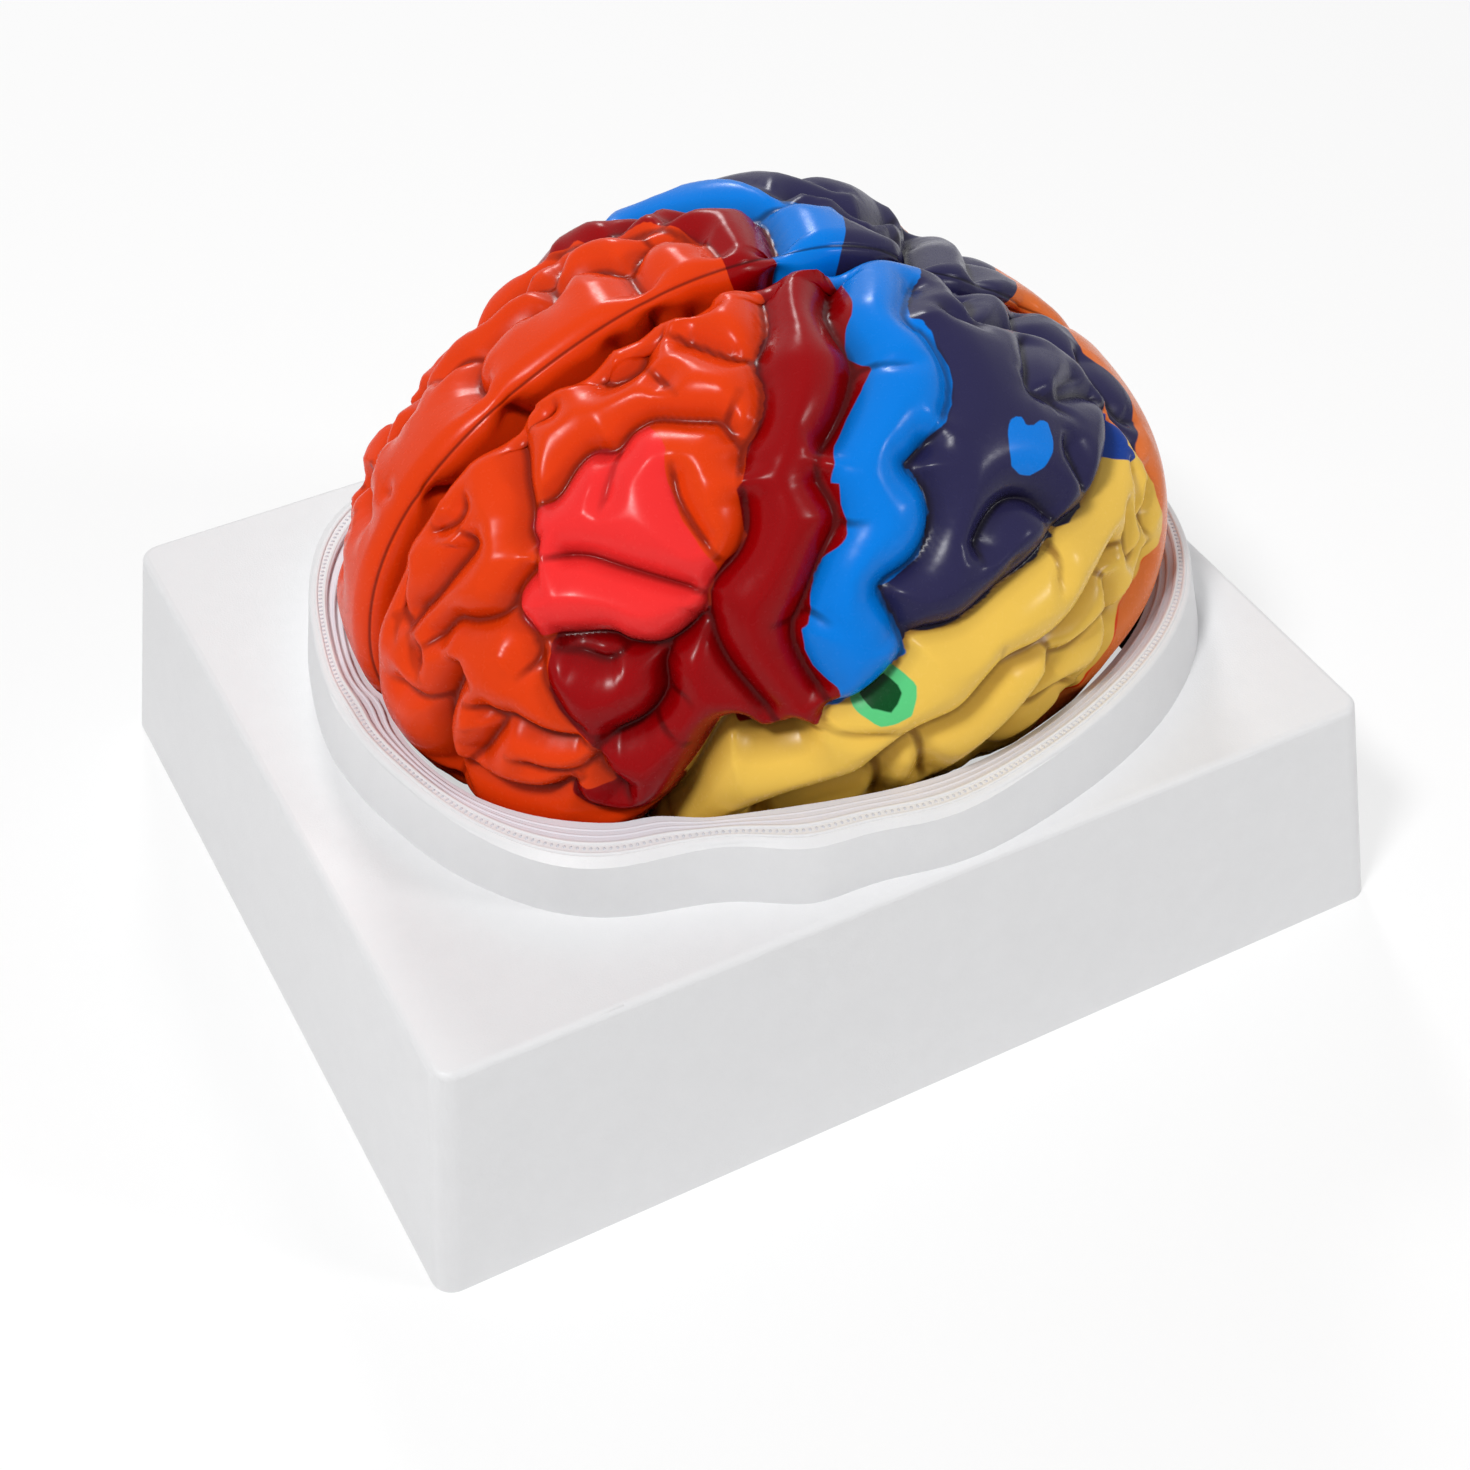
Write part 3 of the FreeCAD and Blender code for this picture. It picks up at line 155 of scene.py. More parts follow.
# Sulci of the top of the left half.
LEFT_TOP_SULCI = {
    "central_upper": (DEEP, [(97.5, 4), (97.3, 9), (94.5, 14), (91, 19), (89.8, 24), (89.3, 30), (86, 35),
        (81.5, 39.3), (77, 42.5)]),
    "precentral_upper": (MAIN, [(85.5, 0), (85, 6), (82.5, 12), (79.5, 19.3), (75.5, 24.3), (74, 30),
        (71.5, 34.5), (68, 37.5), (66, 42)]),
    "postcentral_upper": (SHALLOW, [(112, 14.5), (106, 20), (101.5, 25), (102.7, 29.5), (102, 36),
        (99.5, 41), (96, 44)]),
    "pink_upper_edge": (MAIN, [(38.7, 31), (42, 30.6), (45.5, 27), (48.5, 25.9), (51.5, 28), (54.5, 26),
        (58, 26), (62, 28.8), (66.5, 31.8), (67.3, 34.5), (68, 37.5)]),
    "pink_crease": (CREASE, [(51.6, 28.5), (49, 33.5), (46.3, 38.5)]),
    "orange_gyrus_edge": (SHALLOW, [(58.3, 34), (57.2, 40), (57.9, 46), (59.5, 52)]),
    "pink_branch": (CREASE, [(66.8, 32), (69.3, 29.8), (71, 28)]),
    "frontal_long": (MAIN, [(37.6, -4), (38.2, 4), (39.5, 11), (40.2, 17), (39, 24), (38.3, 31), (37.3, 36),
        (38.5, 41.8)]),
    "frontal_cross": (MAIN, [(52, -4), (52.4, 3), (53.8, 10), (55, 14.7), (60, 14.7), (62.5, 10.5),
        (66.5, 6.7)]),
    "frontal_dimple_a": (SHALLOW, [(42, 13.6), (44.5, 12.3), (46.4, 12), (46.8, 8)]),
    "frontal_dimple_b": (SHALLOW, [(24.2, 13), (24.8, 18.5), (26.7, 22.1), (29.3, 22.5), (31.7, 17)]),
    "frontal_valley": (SHALLOW, [(60.5, 16), (61.5, 19.5), (62.8, 24)]),
    "frontal_wedge": (MAIN, [(66, 12), (68.7, 15.8), (71.5, 20.2), (75.3, 24.5)]),
    "frontal_notch": (MAIN, [(73, -4), (73.5, 3), (73.8, 8), (75.5, 10.3)]),
    "frontal_fold": (MAIN, [(29.7, 27), (30.1, 31.5), (26, 35.5), (22.5, 39), (19.3, 41), (17.7, 47.5)]),
    "front_edge_fold": (SHALLOW, [(17.5, 12), (16.7, 19), (15.5, 27), (15.3, 35), (16, 42),
        (17.7, 47.5)]),
    "front_inner_fold": (CREASE, [(11.8, 32), (13, 38), (12.6, 44), (13.3, 52)]),
    "parietal_vee": (SHALLOW, [(108.3, 23.3), (111, 26), (113.8, 28.2), (116.5, 29.4)]),
    "parietal_ring": (MAIN, [(113.8, 28), (118, 26.7), (126, 26.2), (132, 25.8), (137.5, 27.5),
        (142.5, 32), (144.3, 37), (142.5, 42), (137, 48)]),
    "parietal_long": (MAIN, [(114.5, 27), (118.5, 23.5), (122.5, 17.3), (126.5, 10.5), (129.3, 4.5),
        (130.5, 0)]),
    "parietal_side": (CREASE, [(119, 24.3), (122, 22), (125.5, 19), (130.5, 12)]),
    "parietal_rear": (SHALLOW, [(135.5, 26), (140, 20), (144, 13.8), (148, 6), (149, 2)]),
    "intraparietal": (SHALLOW, [(112.3, 42.9), (116, 40.3), (120, 36.2), (127, 30.3)]),
    "postcentral_pinch": (CREASE, [(89.5, 30.4), (92.5, 31.3), (95.5, 32.8), (98, 34)]),
}

# Sulci of the top of the right half.
RIGHT_TOP_SULCI = {
    "central_upper": (DEEP, [(93.3, 0), (94.6, 5), (95.3, 12), (94.3, 18.5), (93.2, 23), (92.3, 28),
        (88, 34), (81.5, 39.3), (77, 42.5)]),
    "precentral_upper": (SHALLOW, [(83, 3.5), (82.3, 8.5), (79.3, 15), (76.5, 18.5), (73, 23), (70.5, 29),
        (68, 37.5), (66, 42)]),
    "postcentral_upper": (SHALLOW, [(107.3, 19), (105.8, 24), (104.7, 29), (103, 36), (99.5, 41),
        (96, 44)]),
    "postcentral_pinch": (SHALLOW, [(95.8, 16.5), (98.5, 19.2), (103, 19), (107.3, 18.8), (112, 16.8)]),
    "precentral_pair": (MAIN, [(79, 15.3), (82.5, 18.8), (86, 20), (90.3, 17.2), (93.7, 13.5)]),
    "precentral_arch": (MAIN, [(71.5, 24.5), (75, 26.3), (80, 29.8), (85, 33)]),
    "frontal_round_a": (MAIN, [(68, 3), (68, 8.5), (71.5, 11.3), (75, 12), (79.5, 10.5), (82.3, 7.8)]),
    "frontal_round_b": (MAIN, [(57, 12.5), (60.5, 15.6), (64.5, 13.7), (68, 8.5)]),
    "frontal_round_c": (MAIN, [(57.6, 18.5), (60, 21.5), (64, 25.3), (69, 23.8), (73.3, 18.3),
        (74.2, 13)]),
    "frontal_round_d": (MAIN, [(39, 6), (38.7, 11), (41.5, 14.4), (43.8, 15.3), (48.5, 15.9), (53, 14.6),
        (55.4, 10.5)]),
    "frontal_round_e": (MAIN, [(47.3, 31), (47.7, 27.5), (53, 26), (57, 21.7), (57.6, 18), (55.4, 10.5)]),
    "frontal_knob": (SHALLOW, [(36, 19), (37.8, 22.2), (40.3, 22.3), (42.5, 18.7), (43.8, 15.3)]),
    "frontal_arch": (MAIN, [(28.5, 20), (30.5, 22.8), (33, 26), (35, 32), (40, 37.3), (46, 40),
        (52, 37.5), (56.5, 31), (58, 27)]),
    "frontal_front": (MAIN, [(17.4, 18), (18.3, 26.5), (22, 33.8), (25.5, 31), (28.8, 25), (28.5, 20)]),
    "frontal_nick": (CREASE, [(20.7, 12), (21.6, 17.5)]),
    "frontal_small": (CREASE, [(34.8, 30.5), (36.5, 27), (37.4, 24)]),
    "pink_upper_edge": (MAIN, [(38.5, 41.8), (44, 40.5), (50, 39.5), (57, 38), (63, 36), (68, 37.5)]),
    "frontal_bridge": (SHALLOW, [(22, 34), (24, 41), (25.2, 48.2)]),
    "parietal_curl": (MAIN, [(112, 17), (115.5, 15.5), (119.5, 13.5), (124, 15.8), (129, 20.5),
        (132, 25.5)]),
    "parietal_zig": (MAIN, [(106, 24.2), (109, 28), (113, 27), (116.5, 26), (121, 22.3), (125, 25.5),
        (130, 32), (134, 38)]),
    "parieto_occipital": (DEEP, [(126.5, -2), (128.7, 5), (130.7, 12), (133.3, 20), (135.3, 28),
        (138, 38), (137, 48.5)]),
    "parietal_rear": (SHALLOW, [(143.5, 3), (144.7, 11), (146.5, 19), (147.5, 30), (146.8, 48)]),
    "intraparietal": (SHALLOW, [(112.3, 42.9), (114, 37), (118, 33), (122, 31)]),
}

# Sulci of the inner face: depth class, then (station in degrees, depth under the crest in mm) points.
WALL_SULCI = {
    "cingulate": (MAIN, [(14, 20), (30, 22), (50, 22), (70, 23), (90, 23), (108, 20), (120, 12),
        (127, 3)]),
    "wall_a": (SHALLOW, [(22, 3), (24, 20)]),
    "wall_b": (SHALLOW, [(39, 2), (38, 20)]),
    "wall_c": (CREASE, [(58, 4), (59, 20)]),
    "wall_d": (SHALLOW, [(68, 3), (66, 12), (67, 21)]),
    "wall_e": (CREASE, [(75, 6), (73, 18)]),
    "wall_f": (SHALLOW, [(94, 3), (92, 22)]),
    "parieto_occipital": (DEEP, [(127, 2), (123, 18), (119, 32)]),
    "calcarine": (MAIN, [(160, 3), (148, 14), (132, 26)]),
}

# Sulci of the underside: depth class, then (station, roll) points in degrees.
UNDER_SULCI = {
    "transverse": (FISSURE, ((166, 178), (158, 150), (146, 134), (132, 124), (118, 122), (107, 127),
                             (101, 140), (98, 158), (97, 176))),
    "sylvian_stem": (DEEP, ((47, 102), (45, 115), (50, 128), (58, 142), (66, 156))),
    "olfactory": (MAIN, ((16, 165), (26, 162), (38, 160), (50, 160))),
    "orbital_outer": (MAIN, ((18, 118), (26, 122), (35, 128), (42, 136))),
    "orbital_inner": (SHALLOW, ((22, 140), (31, 142), (40, 148))),
    "temporal_lower": (MAIN, ((52, 112), (64, 113), (78, 110), (92, 108), (104, 110))),
    "temporal_base": (MAIN, ((62, 128), (74, 128), (86, 124), (98, 124))),
    "temporal_inner": (SHALLOW, ((72, 145), (82, 142), (92, 140))),
    "occipital_lower": (SHALLOW, ((126, 108), (138, 110), (150, 116))),
    "pons_upper": (MAIN, ((94, 160), (88, 168), (86, 179))),
}

# Folia of the cerebellum: lines round it, evenly spaced below the transverse fissure.
FOLIA_COUNT = 5
FOLIA_FIRST = 152.0
FOLIA_STEP = -9.0
FOLIUM_SWEEP = ((4, 176), (0, 160), (-6, 146), (-14, 136))
for folium in range(FOLIA_COUNT):
    start = FOLIA_FIRST + FOLIA_STEP * folium
    sweep = [(start + turn, roll) for turn, roll in FOLIUM_SWEEP]
    UNDER_SULCI["folium_%d" % (folium + 1)] = (CREASE, sweep)

# Painted fields: edges and closed outlines of stations and rolls. Each later field lies over the earlier
# ones. The fields run on over the crest to the far roll, and an edge that lies under another is moved by
# the underlap.
FAR_TOP = -20
UNDERLAP = 2.5
PRECENTRAL_LEFT = ((84.5, 1), (85, 5), (84.3, 8), (83, 10.5), (82, 14), (80, 18.5), (77.5, 21.5),
                   (75.3, 24), (74.5, 27), (74, 30), (72.5, 33))
PRECENTRAL_RIGHT = ((83, 0), (83, 3), (82.8, 6), (81.5, 9.5), (80, 13), (78.8, 15), (76.5, 18.5),
                    (73, 23), (71, 24.5), (69, 28), (69.5, 32))
PRECENTRAL_LOWER = ((70, 36), (68.8, 36.8), (66, 42.5), (65.4, 42.8), (65, 46), (64.3, 50), (62.5, 52),
                    (60.3, 53.3), (58.3, 55), (57, 57.2), (56.5, 59.5))
CENTRAL_LEFT = ((97.3, 8), (98.7, 10), (97, 14), (95, 19), (93.5, 22), (91.5, 24), (90.3, 26.5),
                (89.7, 28.5), (90.3, 30.5), (91, 32), (89, 34))
CENTRAL_RIGHT = ((94, 1.5), (95.5, 4), (95.5, 8), (95.7, 12), (96, 17), (95, 20), (93, 27), (91, 31),
                 (88.5, 34))
CENTRAL_LOWER = ((86.5, 36.5), (83.5, 39), (80.5, 41.5), (79.2, 43.5), (78.5, 45.5), (78, 46.5), (79, 47),
                 (78.6, 50), (78.7, 52.5), (78, 54.5), (76.5, 55.5), (74, 56.5), (72, 59), (71, 61.5),
                 (70.5, 64), (69.7, 65.5), (68.5, 66.5), (68.3, 70), (69.2, 73), (71, 75.5), (72.2, 76.5),
                 (72.3, 78), (71.5, 80.5))
POSTCENTRAL_LEFT = ((117.5, 5.5), (115, 10), (112, 14.5), (108, 18.5), (105, 21), (102.5, 23.5),
                    (101.3, 25.5), (102.3, 27), (102.8, 29.5), (102, 32.5))
POSTCENTRAL_RIGHT = ((103, -4), (105.5, -0.5), (107.5, 2.5), (109, 5.5), (110.5, 10), (112, 16.7),
                     (107.3, 19), (107, 20.5), (106, 24), (105, 26.5), (104.5, 30), (104, 34))
POSTCENTRAL_LOWER = ((102, 36), (101, 38.5), (99, 41.5), (96, 44), (93, 46), (90.3, 47), (89.3, 47.5),
                     (90.5, 49), (91.2, 52), (91, 55), (89.5, 58), (87.5, 60.5), (85, 62), (82, 63),
                     (80.7, 63.2), (81.3, 66), (82, 69), (82.5, 72), (82.8, 74))
BLUE_LOWER_EDGE = ((81, 75.5), (78.5, 77.5), (75, 80), (72, 80.8))
FRONTAL_LOWER_EDGE = ((50, 58), (44, 56), (38, 55), (35.8, 58.8), (36.3, 61), (36, 64), (35.7, 68),
                      (36.5, 72.5), (38, 78.5), (39.5, 80.3), (40.3, 83), (41, 88.5), (42, 91),
                      (40.5, 90.5), (38.5, 90), (37.2, 91), (37, 93.5), (37.5, 94.3), (39, 96.3),
                      (41.5, 97.7), (45, 97.9), (47.5, 96.8), (49.5, 95.5), (50, 91), (52, 88), (54, 84),
                      (55, 81), (55.2, 79.5), (57.5, 83.5), (60.5, 84.8), (64, 84.5), (67.5, 84),
                      (69.5, 82), (70.5, 80.3))
NAVY_LOWER_EDGE = ((84, 71), (87, 71.7), (91, 71.5), (95, 70), (98, 68.5), (101.5, 67.7), (105.5, 66.8),
                   (107.5, 65), (109.3, 64.7), (109.3, 63), (110.5, 63.5), (113, 63.9), (117, 63),
                   (117.7, 62.3), (121, 61), (124, 59.3), (127, 57.8), (132, 56), (137, 48.3), (140, 49.5),
                   (142.5, 52), (143.7, 55), (144, 60), (143.8, 64), (143, 66))
NAVY_REAR_EDGE = ((147, 63), (151, 58), (153, 50), (153.5, 40), (153, 30), (154, 18), (153, 5))
YELLOW_REAR_EDGE = ((143, 66), (144.5, 69), (147, 71.5), (146.8, 74.5), (145.5, 77), (145, 80), (145, 83),
                    (144.5, 86), (142.5, 88.5), (139, 91), (135, 92.5), (131.5, 93), (129, 94.5), (127, 96),
                    (125, 97.5), (122, 98.5), (119, 99), (116.5, 100), (113, 108), (108, 124), (101, 140),
                    (98, 158), (97, 190))
YELLOW_FRONT_EDGE = ((70, 190), (66, 160), (56, 140), (47, 122), (45, 110), (47.5, 103), (48.5, 99),
                     (49.5, 95.5), (50, 91), (52, 88), (54, 84), (58, 70), (70, 60), (100, 50), (130, 40))
PINK_FIELD = ((38.7, 31.2), (41, 31.2), (43.5, 29.5), (46, 26.8), (48, 25.9), (50, 26.5), (51.5, 28),
              (54, 26.3), (57, 26.5), (58.5, 31), (58.5, 33), (57, 38), (57, 44), (58, 49), (59, 52),
              (59, 54), (57, 57), (56.5, 59.5), (54, 61.8), (51, 63.5), (49, 64.2), (47, 63.8),
              (45, 62.3), (43.7, 60), (41.5, 59), (38, 58), (35, 57.5), (34.5, 56), (33.3, 52),
              (33.3, 48), (35, 44.8), (38.5, 41.8), (37.5, 38), (37.3, 34))
ROYAL_FIELD = ((125, 57), (127.5, 54.5), (130, 52.7), (133, 50.8), (135, 50.5), (136.5, 51), (135.2, 52.3),
               (136, 54), (136.5, 55.5), (135.5, 57), (133.5, 58), (134.3, 59.5), (134.8, 61),
               (133.5, 61.2), (131, 60.3), (128.5, 58.8), (127, 57.5))
SMALL_BLUE_FIELD = ((108.5, 46.3), (109.8, 45.7), (111.2, 46.2), (111.2, 47.7), (112.5, 48.2),
                    (114.5, 47.8), (115.5, 48.5), (115.2, 51), (114, 53), (112, 54.7), (110, 55.2),
                    (108, 54.5), (106.5, 52.8), (106.7, 50.5), (107.5, 48))
PALE_GREEN_FIELD = ((74.3, 80.5), (74.5, 82), (75.5, 83), (77, 84.2), (78, 84.7), (80, 84.3), (82, 83),
                    (83, 80.5), (83.3, 79), (82.5, 77.7), (81, 76), (79, 77.1), (76, 79.3))
DARK_GREEN_FIELD = ((76, 79.5), (76, 81), (77, 82.3), (78.5, 82.3), (79.5, 82.7), (80.5, 81.5), (81.3, 80),
                    (81.3, 79), (80.3, 77.7), (79, 77.3), (77.5, 78.3))


def lapped(outline):
    """An edge moved frontwards, so that it lies under the field before it."""
    return tuple((station - UNDERLAP, roll) for station, roll in outline)


def painted_fields(side):
    """The outlines of one half's fields, in the order in which they are painted."""
    if side == "left":
        precentral, central, postcentral = PRECENTRAL_LEFT, CENTRAL_LEFT, POSTCENTRAL_LEFT
    else:
        precentral, central, postcentral = PRECENTRAL_RIGHT, CENTRAL_RIGHT, POSTCENTRAL_RIGHT
    precentral = ((precentral[0][0], FAR_TOP),) + precentral + PRECENTRAL_LOWER
    central = ((central[0][0], FAR_TOP),) + central + CENTRAL_LOWER
    postcentral = ((postcentral[0][0], FAR_TOP),) + postcentral + POSTCENTRAL_LOWER
    return {
        "rear_orange": ((180, 190), (181, FAR_TOP), (120, FAR_TOP), (120, 70)) + YELLOW_REAR_EDGE[6:],
        "yellow": YELLOW_REAR_EDGE + YELLOW_FRONT_EDGE,
        "navy": lapped(postcentral) + NAVY_LOWER_EDGE + NAVY_REAR_EDGE + ((153, FAR_TOP),),
        "light_blue": lapped(central) + BLUE_LOWER_EDGE[::-1] + postcentral[::-1],
        "dark_red": precentral + FRONTAL_LOWER_EDGE + central[::-1],
        "pink": PINK_FIELD if side == "left" else (),
        "royal_blue": ROYAL_FIELD,
        "small_blue": SMALL_BLUE_FIELD,
        "pale_green": PALE_GREEN_FIELD,
        "dark_green": DARK_GREEN_FIELD,
    }


# Sizes and colours that a user would change


def number(name, text, value):
    """A property that holds a plain number or a length in millimetres."""
    return bpy.props.FloatProperty(name=name, description=text, default=value)


def colour(name, text, value):
    """A property that holds a colour, written as it is seen."""
    return bpy.props.FloatVectorProperty(name=name, description=text, default=value, size=3,
                                         subtype="COLOR")


class BrainFormSettings(bpy.types.PropertyGroup):
    front_reach: number("Front reach", "Centre of the form to the frontal pole, in mm", 93.1)
    rear_reach: number("Rear reach", "Centre of the form to the occipital pole, in mm", 83.8)
    half_breadth: number("Half breadth", "Centre of the form to the side, in mm", 65.7)
    crown_rise: number("Crown rise", "Centre of the form to the crown, in mm", 63.2)
    floor_drop: number("Floor drop", "Centre of the form to the underside, in mm", 55.0)
    plan_power: number("Plan power", "Squareness of the form from above", 2.6)
    side_power: number("Side power", "Squareness of the form from the side", 2.1)
    fissure_gap: number("Fissure", "Gap between the halves, in mm", 3.4)
    lower_gap: number("Lower gap", "Gap between the halves underneath, in mm", 0.6)
    crest_radius: number("Crest", "Rounding between the outer form and the inner face, in mm", 5.5)
    contact_length: number("Contact length", "Flat field where the halves meet, in mm", 100.0)
    contact_height: number("Contact height", "Flat field where the halves meet, in mm", 56.0)
    peg_spacing: number("Peg spacing", "Distance between the two pegs' sockets, in mm", 60.0)
    socket_radius: number("Socket radius", "Radius of a peg's socket, in mm", 3.15)
    socket_depth: number("Socket depth", "Depth of a peg's socket, in mm", 7.15)
    cuts: bpy.props.IntProperty(name="Cuts", description="Cuts along each edge of the raw block",
                                default=139)


class CarvingSettings(bpy.types.PropertyGroup):
    depth: number("Depth", "Depth of a main sulcus, in mm", 5.8)
    reach: number("Reach", "Main sulcus to the crown of its gyrus, in mm", 10.5)
    end_fade: number("End fade", "Length over which a sulcus fades out, in mm", 5.0)


class PaintSettings(bpy.types.PropertyGroup):
    frontal_orange: colour("Frontal orange", "Front of the brain", (0.88, 0.24, 0.04))
    rear_orange: colour("Rear orange", "Back of the brain", (0.88, 0.45, 0.20))
    yellow: colour("Yellow", "Lower side", (0.93, 0.76, 0.33))
    navy: colour("Navy", "Upper rear", (0.16, 0.15, 0.29))
    light_blue: colour("Light blue", "Strip behind the central sulcus", (0.0, 0.48, 0.87))
    dark_red: colour("Dark red", "Strip before the central sulcus", (0.57, 0.0, 0.02))
    pink: colour("Pink red", "Middle of the front", (0.94, 0.19, 0.19))
    royal_blue: colour("Royal blue", "Patch at the rear", (0.02, 0.22, 0.56))
    small_blue: colour("Small patch", "Patch in the navy field", (0.02, 0.48, 0.87))
    pale_green: colour("Pale green", "Ring round the green spot", (0.36, 0.80, 0.50))
    dark_green: colour("Dark green", "Spot", (0.0, 0.28, 0.11))


class StandSettings(bpy.types.PropertyGroup):
    plastic: colour("Plastic", "Moulded stand", (0.89, 0.89, 0.895))
    tint: colour("Terrace tint", "Terraces round the opening", (0.865, 0.862, 0.888))
    # Painted shade: the beads are coloured darker than the plastic, for the shade between them.
    bead_shade: colour("Bead tint", "Beads along the collar", (0.80, 0.805, 0.83))
    collar_band: number("Collar band", "Opening's edge to the collar's rim, where it is plain, in mm", 8.6)
    terrace_width: number("Terrace width", "Width of one terrace round the opening, in mm", 1.6)
    terrace_rise: number("Terrace rise", "Height of one terrace round the opening, in mm", 1.0)
    opening_clearance: number("Clearance", "Clearance of the opening round the brain, in mm", 0.4)
    bead_pitch: number("Bead pitch", "Distance between two beads, in mm", 1.25)
    bead_radius: number("Bead radius", "Radius of one bead, in mm", 0.5)
    ridge_radius: number("Ridge radius", "Radius of the fine ridges beside the beads, in mm", 0.42)
    lip_radius: number("Lip radius", "Radius of the rounded lip of a terrace, in mm", 0.44)
    rim_radius: number("Rim radius", "Rounding of the collar's outer rim, in mm", 1.5)


def linear(value):
    """A seen colour as the linear colour that a shader takes."""
    parts = [part / 12.92 if part <= 0.04045 else ((part + 0.055) / 1.055) ** 2.4 for part in value]
    return (parts[0], parts[1], parts[2], 1.0)


# The form of a half

# The gap between the halves opens between these two heights, as shares of the way up.
GAP_START = -0.6
GAP_END = -0.1
# Depth of the pyramid that the raw block's outer side spans, and the shares of its bands that lie on the
# outer side and on the crest. The inner face falls back from the flat field over the margin.
CAGE_DEPTH = 45.0
OUTER_SHARE = 0.68
CREST_SHARE = 0.14
FLAT_MARGIN = 6.0
SOCKET_SEGMENTS = 32
# Halvings of a search, and steps between two given points of a curve.
BISECTIONS = 30
CURVE_STEPS = 4
# Share of its depth that a sulcus keeps at its ends, and how hard the depths of two sulci blend.
END_DEPTH = 0.25
BLEND_POWER = 3.0
# Points within the first reach of a sulcus slide towards its line, and those within the second almost
# onto it.
GATHER_REACH = 2.2
SNAP_REACH = 0.5
SNAP_SHARE = 0.12
# Steepness of a crease at its line, the rounding of its bottom, and the evening out beside it.
CREASE_SHARPNESS = 0.88
VALLEY_ROUND = 0.45
SOFTENING_STEPS = 3
SOFTENING_FACTOR = 0.5
FREE_LIMIT = 0.99
# Lines are moved along the sight line where the form faces the eye more than this, and less near the
# middle. The depth under them is a base, a slope on the depth class and a most, as shares of the carving.
EYE_FADE = 0.35
EYE_LIMIT = 0.6
MIDDLE_FADE = 15.0
SEEN_DEPTH = (0.45, 0.75, 1.3)
SPOT_DEPTHS = {"small_blue": 0.25, "pale_green": 0.85, "dark_green": 0.85}
# Distance to an outline where a half lacks the field, and the poles' margin for widths on the form.
UNPAINTED = -90.0
POLE_MARGIN = 4
# The mould seam of the right half: a fine groove at this bend of the crest.
SEAM_FAR = 4.0
SEAM_BEND = math.radians(49.6)
SEAM_DEPTH = 0.35
SEAM_WIDTH = 0.5
# Swellings and hollows of the smooth form: azimuth from the frontal pole towards the side, elevation,
# amount as a share of the half breadth and spread in degrees. The last is the stump of the stem.
SWELLINGS = (
    (0, 10, -0.067, 28),
    (20, 45, -0.064, 28),
    (90, 85, -0.030, 28),
    (125, 40, 0.059, 28),
    (175, 40, -0.157, 28),
    (170, 5, 0.018, 28),
    (95, 0, 0.107, 28),
    (45, 15, -0.091, 28),
    (60, 50, 0.065, 28),
    (150, 20, -0.052, 28),
    (180, -78, 0.137, 13),
)


def smooth_step(value):
    """0 below 0, 1 above 1, and smooth between."""
    value = np.clip(value, 0.0, 1.0)
    return value * value * (3 - 2 * value)


def form_radius(form, way):
    """Distance from the centre to the smooth form along unit directions."""
    reach = np.where(way[:, 0] < 0, form.front_reach, form.rear_reach)
    rise = np.where(way[:, 2] > 0, form.crown_rise, form.floor_drop)
    plan = (np.abs(way[:, 0]) / reach) ** form.plan_power
    plan += (np.abs(way[:, 1]) / form.half_breadth) ** form.plan_power
    total = plan ** (form.side_power / form.plan_power) + (np.abs(way[:, 2]) / rise) ** form.side_power
    radius = total ** (-1 / form.side_power)
    for azimuth, elevation, amount, spread in SWELLINGS:
        flat = math.cos(math.radians(elevation))
        peak = (-math.cos(math.radians(azimuth)) * flat, math.sin(math.radians(azimuth)) * flat,
                math.sin(math.radians(elevation)))
        cosine = way[:, 0] * peak[0] + np.abs(way[:, 1]) * peak[1] + way[:, 2] * peak[2]
        turn = np.degrees(np.arccos(np.clip(cosine, -1, 1))) / spread
        radius += amount * form.half_breadth * np.exp(-turn * turn)
    return radius


def form_points(form, places):
    """Points of the smooth form, on the left half, at stations and rolls."""
    station = np.radians(places[:, 0])
    roll = np.radians(places[:, 1])
    way = np.stack((-np.cos(station), -np.sin(station) * np.sin(roll), np.sin(station) * np.cos(roll)),
                   axis=1)
    return way * form_radius(form, way)[:, None]


def places_of(points):
    """Stations and rolls of points."""
    radius = np.linalg.norm(points, axis=1)
    station = np.degrees(np.arccos(np.clip(-points[:, 0] / radius, -1, 1)))
    roll = np.degrees(np.arctan2(-points[:, 1], points[:, 2]))
    return np.stack((station, roll), axis=1)


def seen_from(form, points, eye, depth):
    """Move points of the form so that a crease so deep under them shows from the eye where they did."""
    way = points / np.linalg.norm(points, axis=1)[:, None]
    view = eye - points
    view /= np.linalg.norm(view, axis=1)[:, None]
    facing = (way * view).sum(axis=1)[:, None]
    share = smooth_step(facing / EYE_FADE) * smooth_step(np.abs(points[:, 1:2]) / MIDDLE_FADE)
    moved = points + share * depth * (way - view / np.maximum(facing, EYE_LIMIT))
    way = moved / np.linalg.norm(moved, axis=1)[:, None]
    return way * form_radius(form, way)[:, None]


def half_gap(form, upward):
    """Distance from the mid-plane to the inner face."""
    share = smooth_step((upward - GAP_START) / (GAP_END - GAP_START))
    return (form.lower_gap + share * (form.fissure_gap - form.lower_gap)) / 2


def wall_points(form, places):
    """Points of the inner face at stations, so deep under the crest."""
    station = np.radians(places[:, 0])
    way = np.stack((-np.cos(station), np.zeros(len(places)), np.sin(station)), axis=1)
    points = way * (form_radius(form, way) - places[:, 1])[:, None]
    points[:, 1] = -half_gap(form, way[:, 2])
    return points


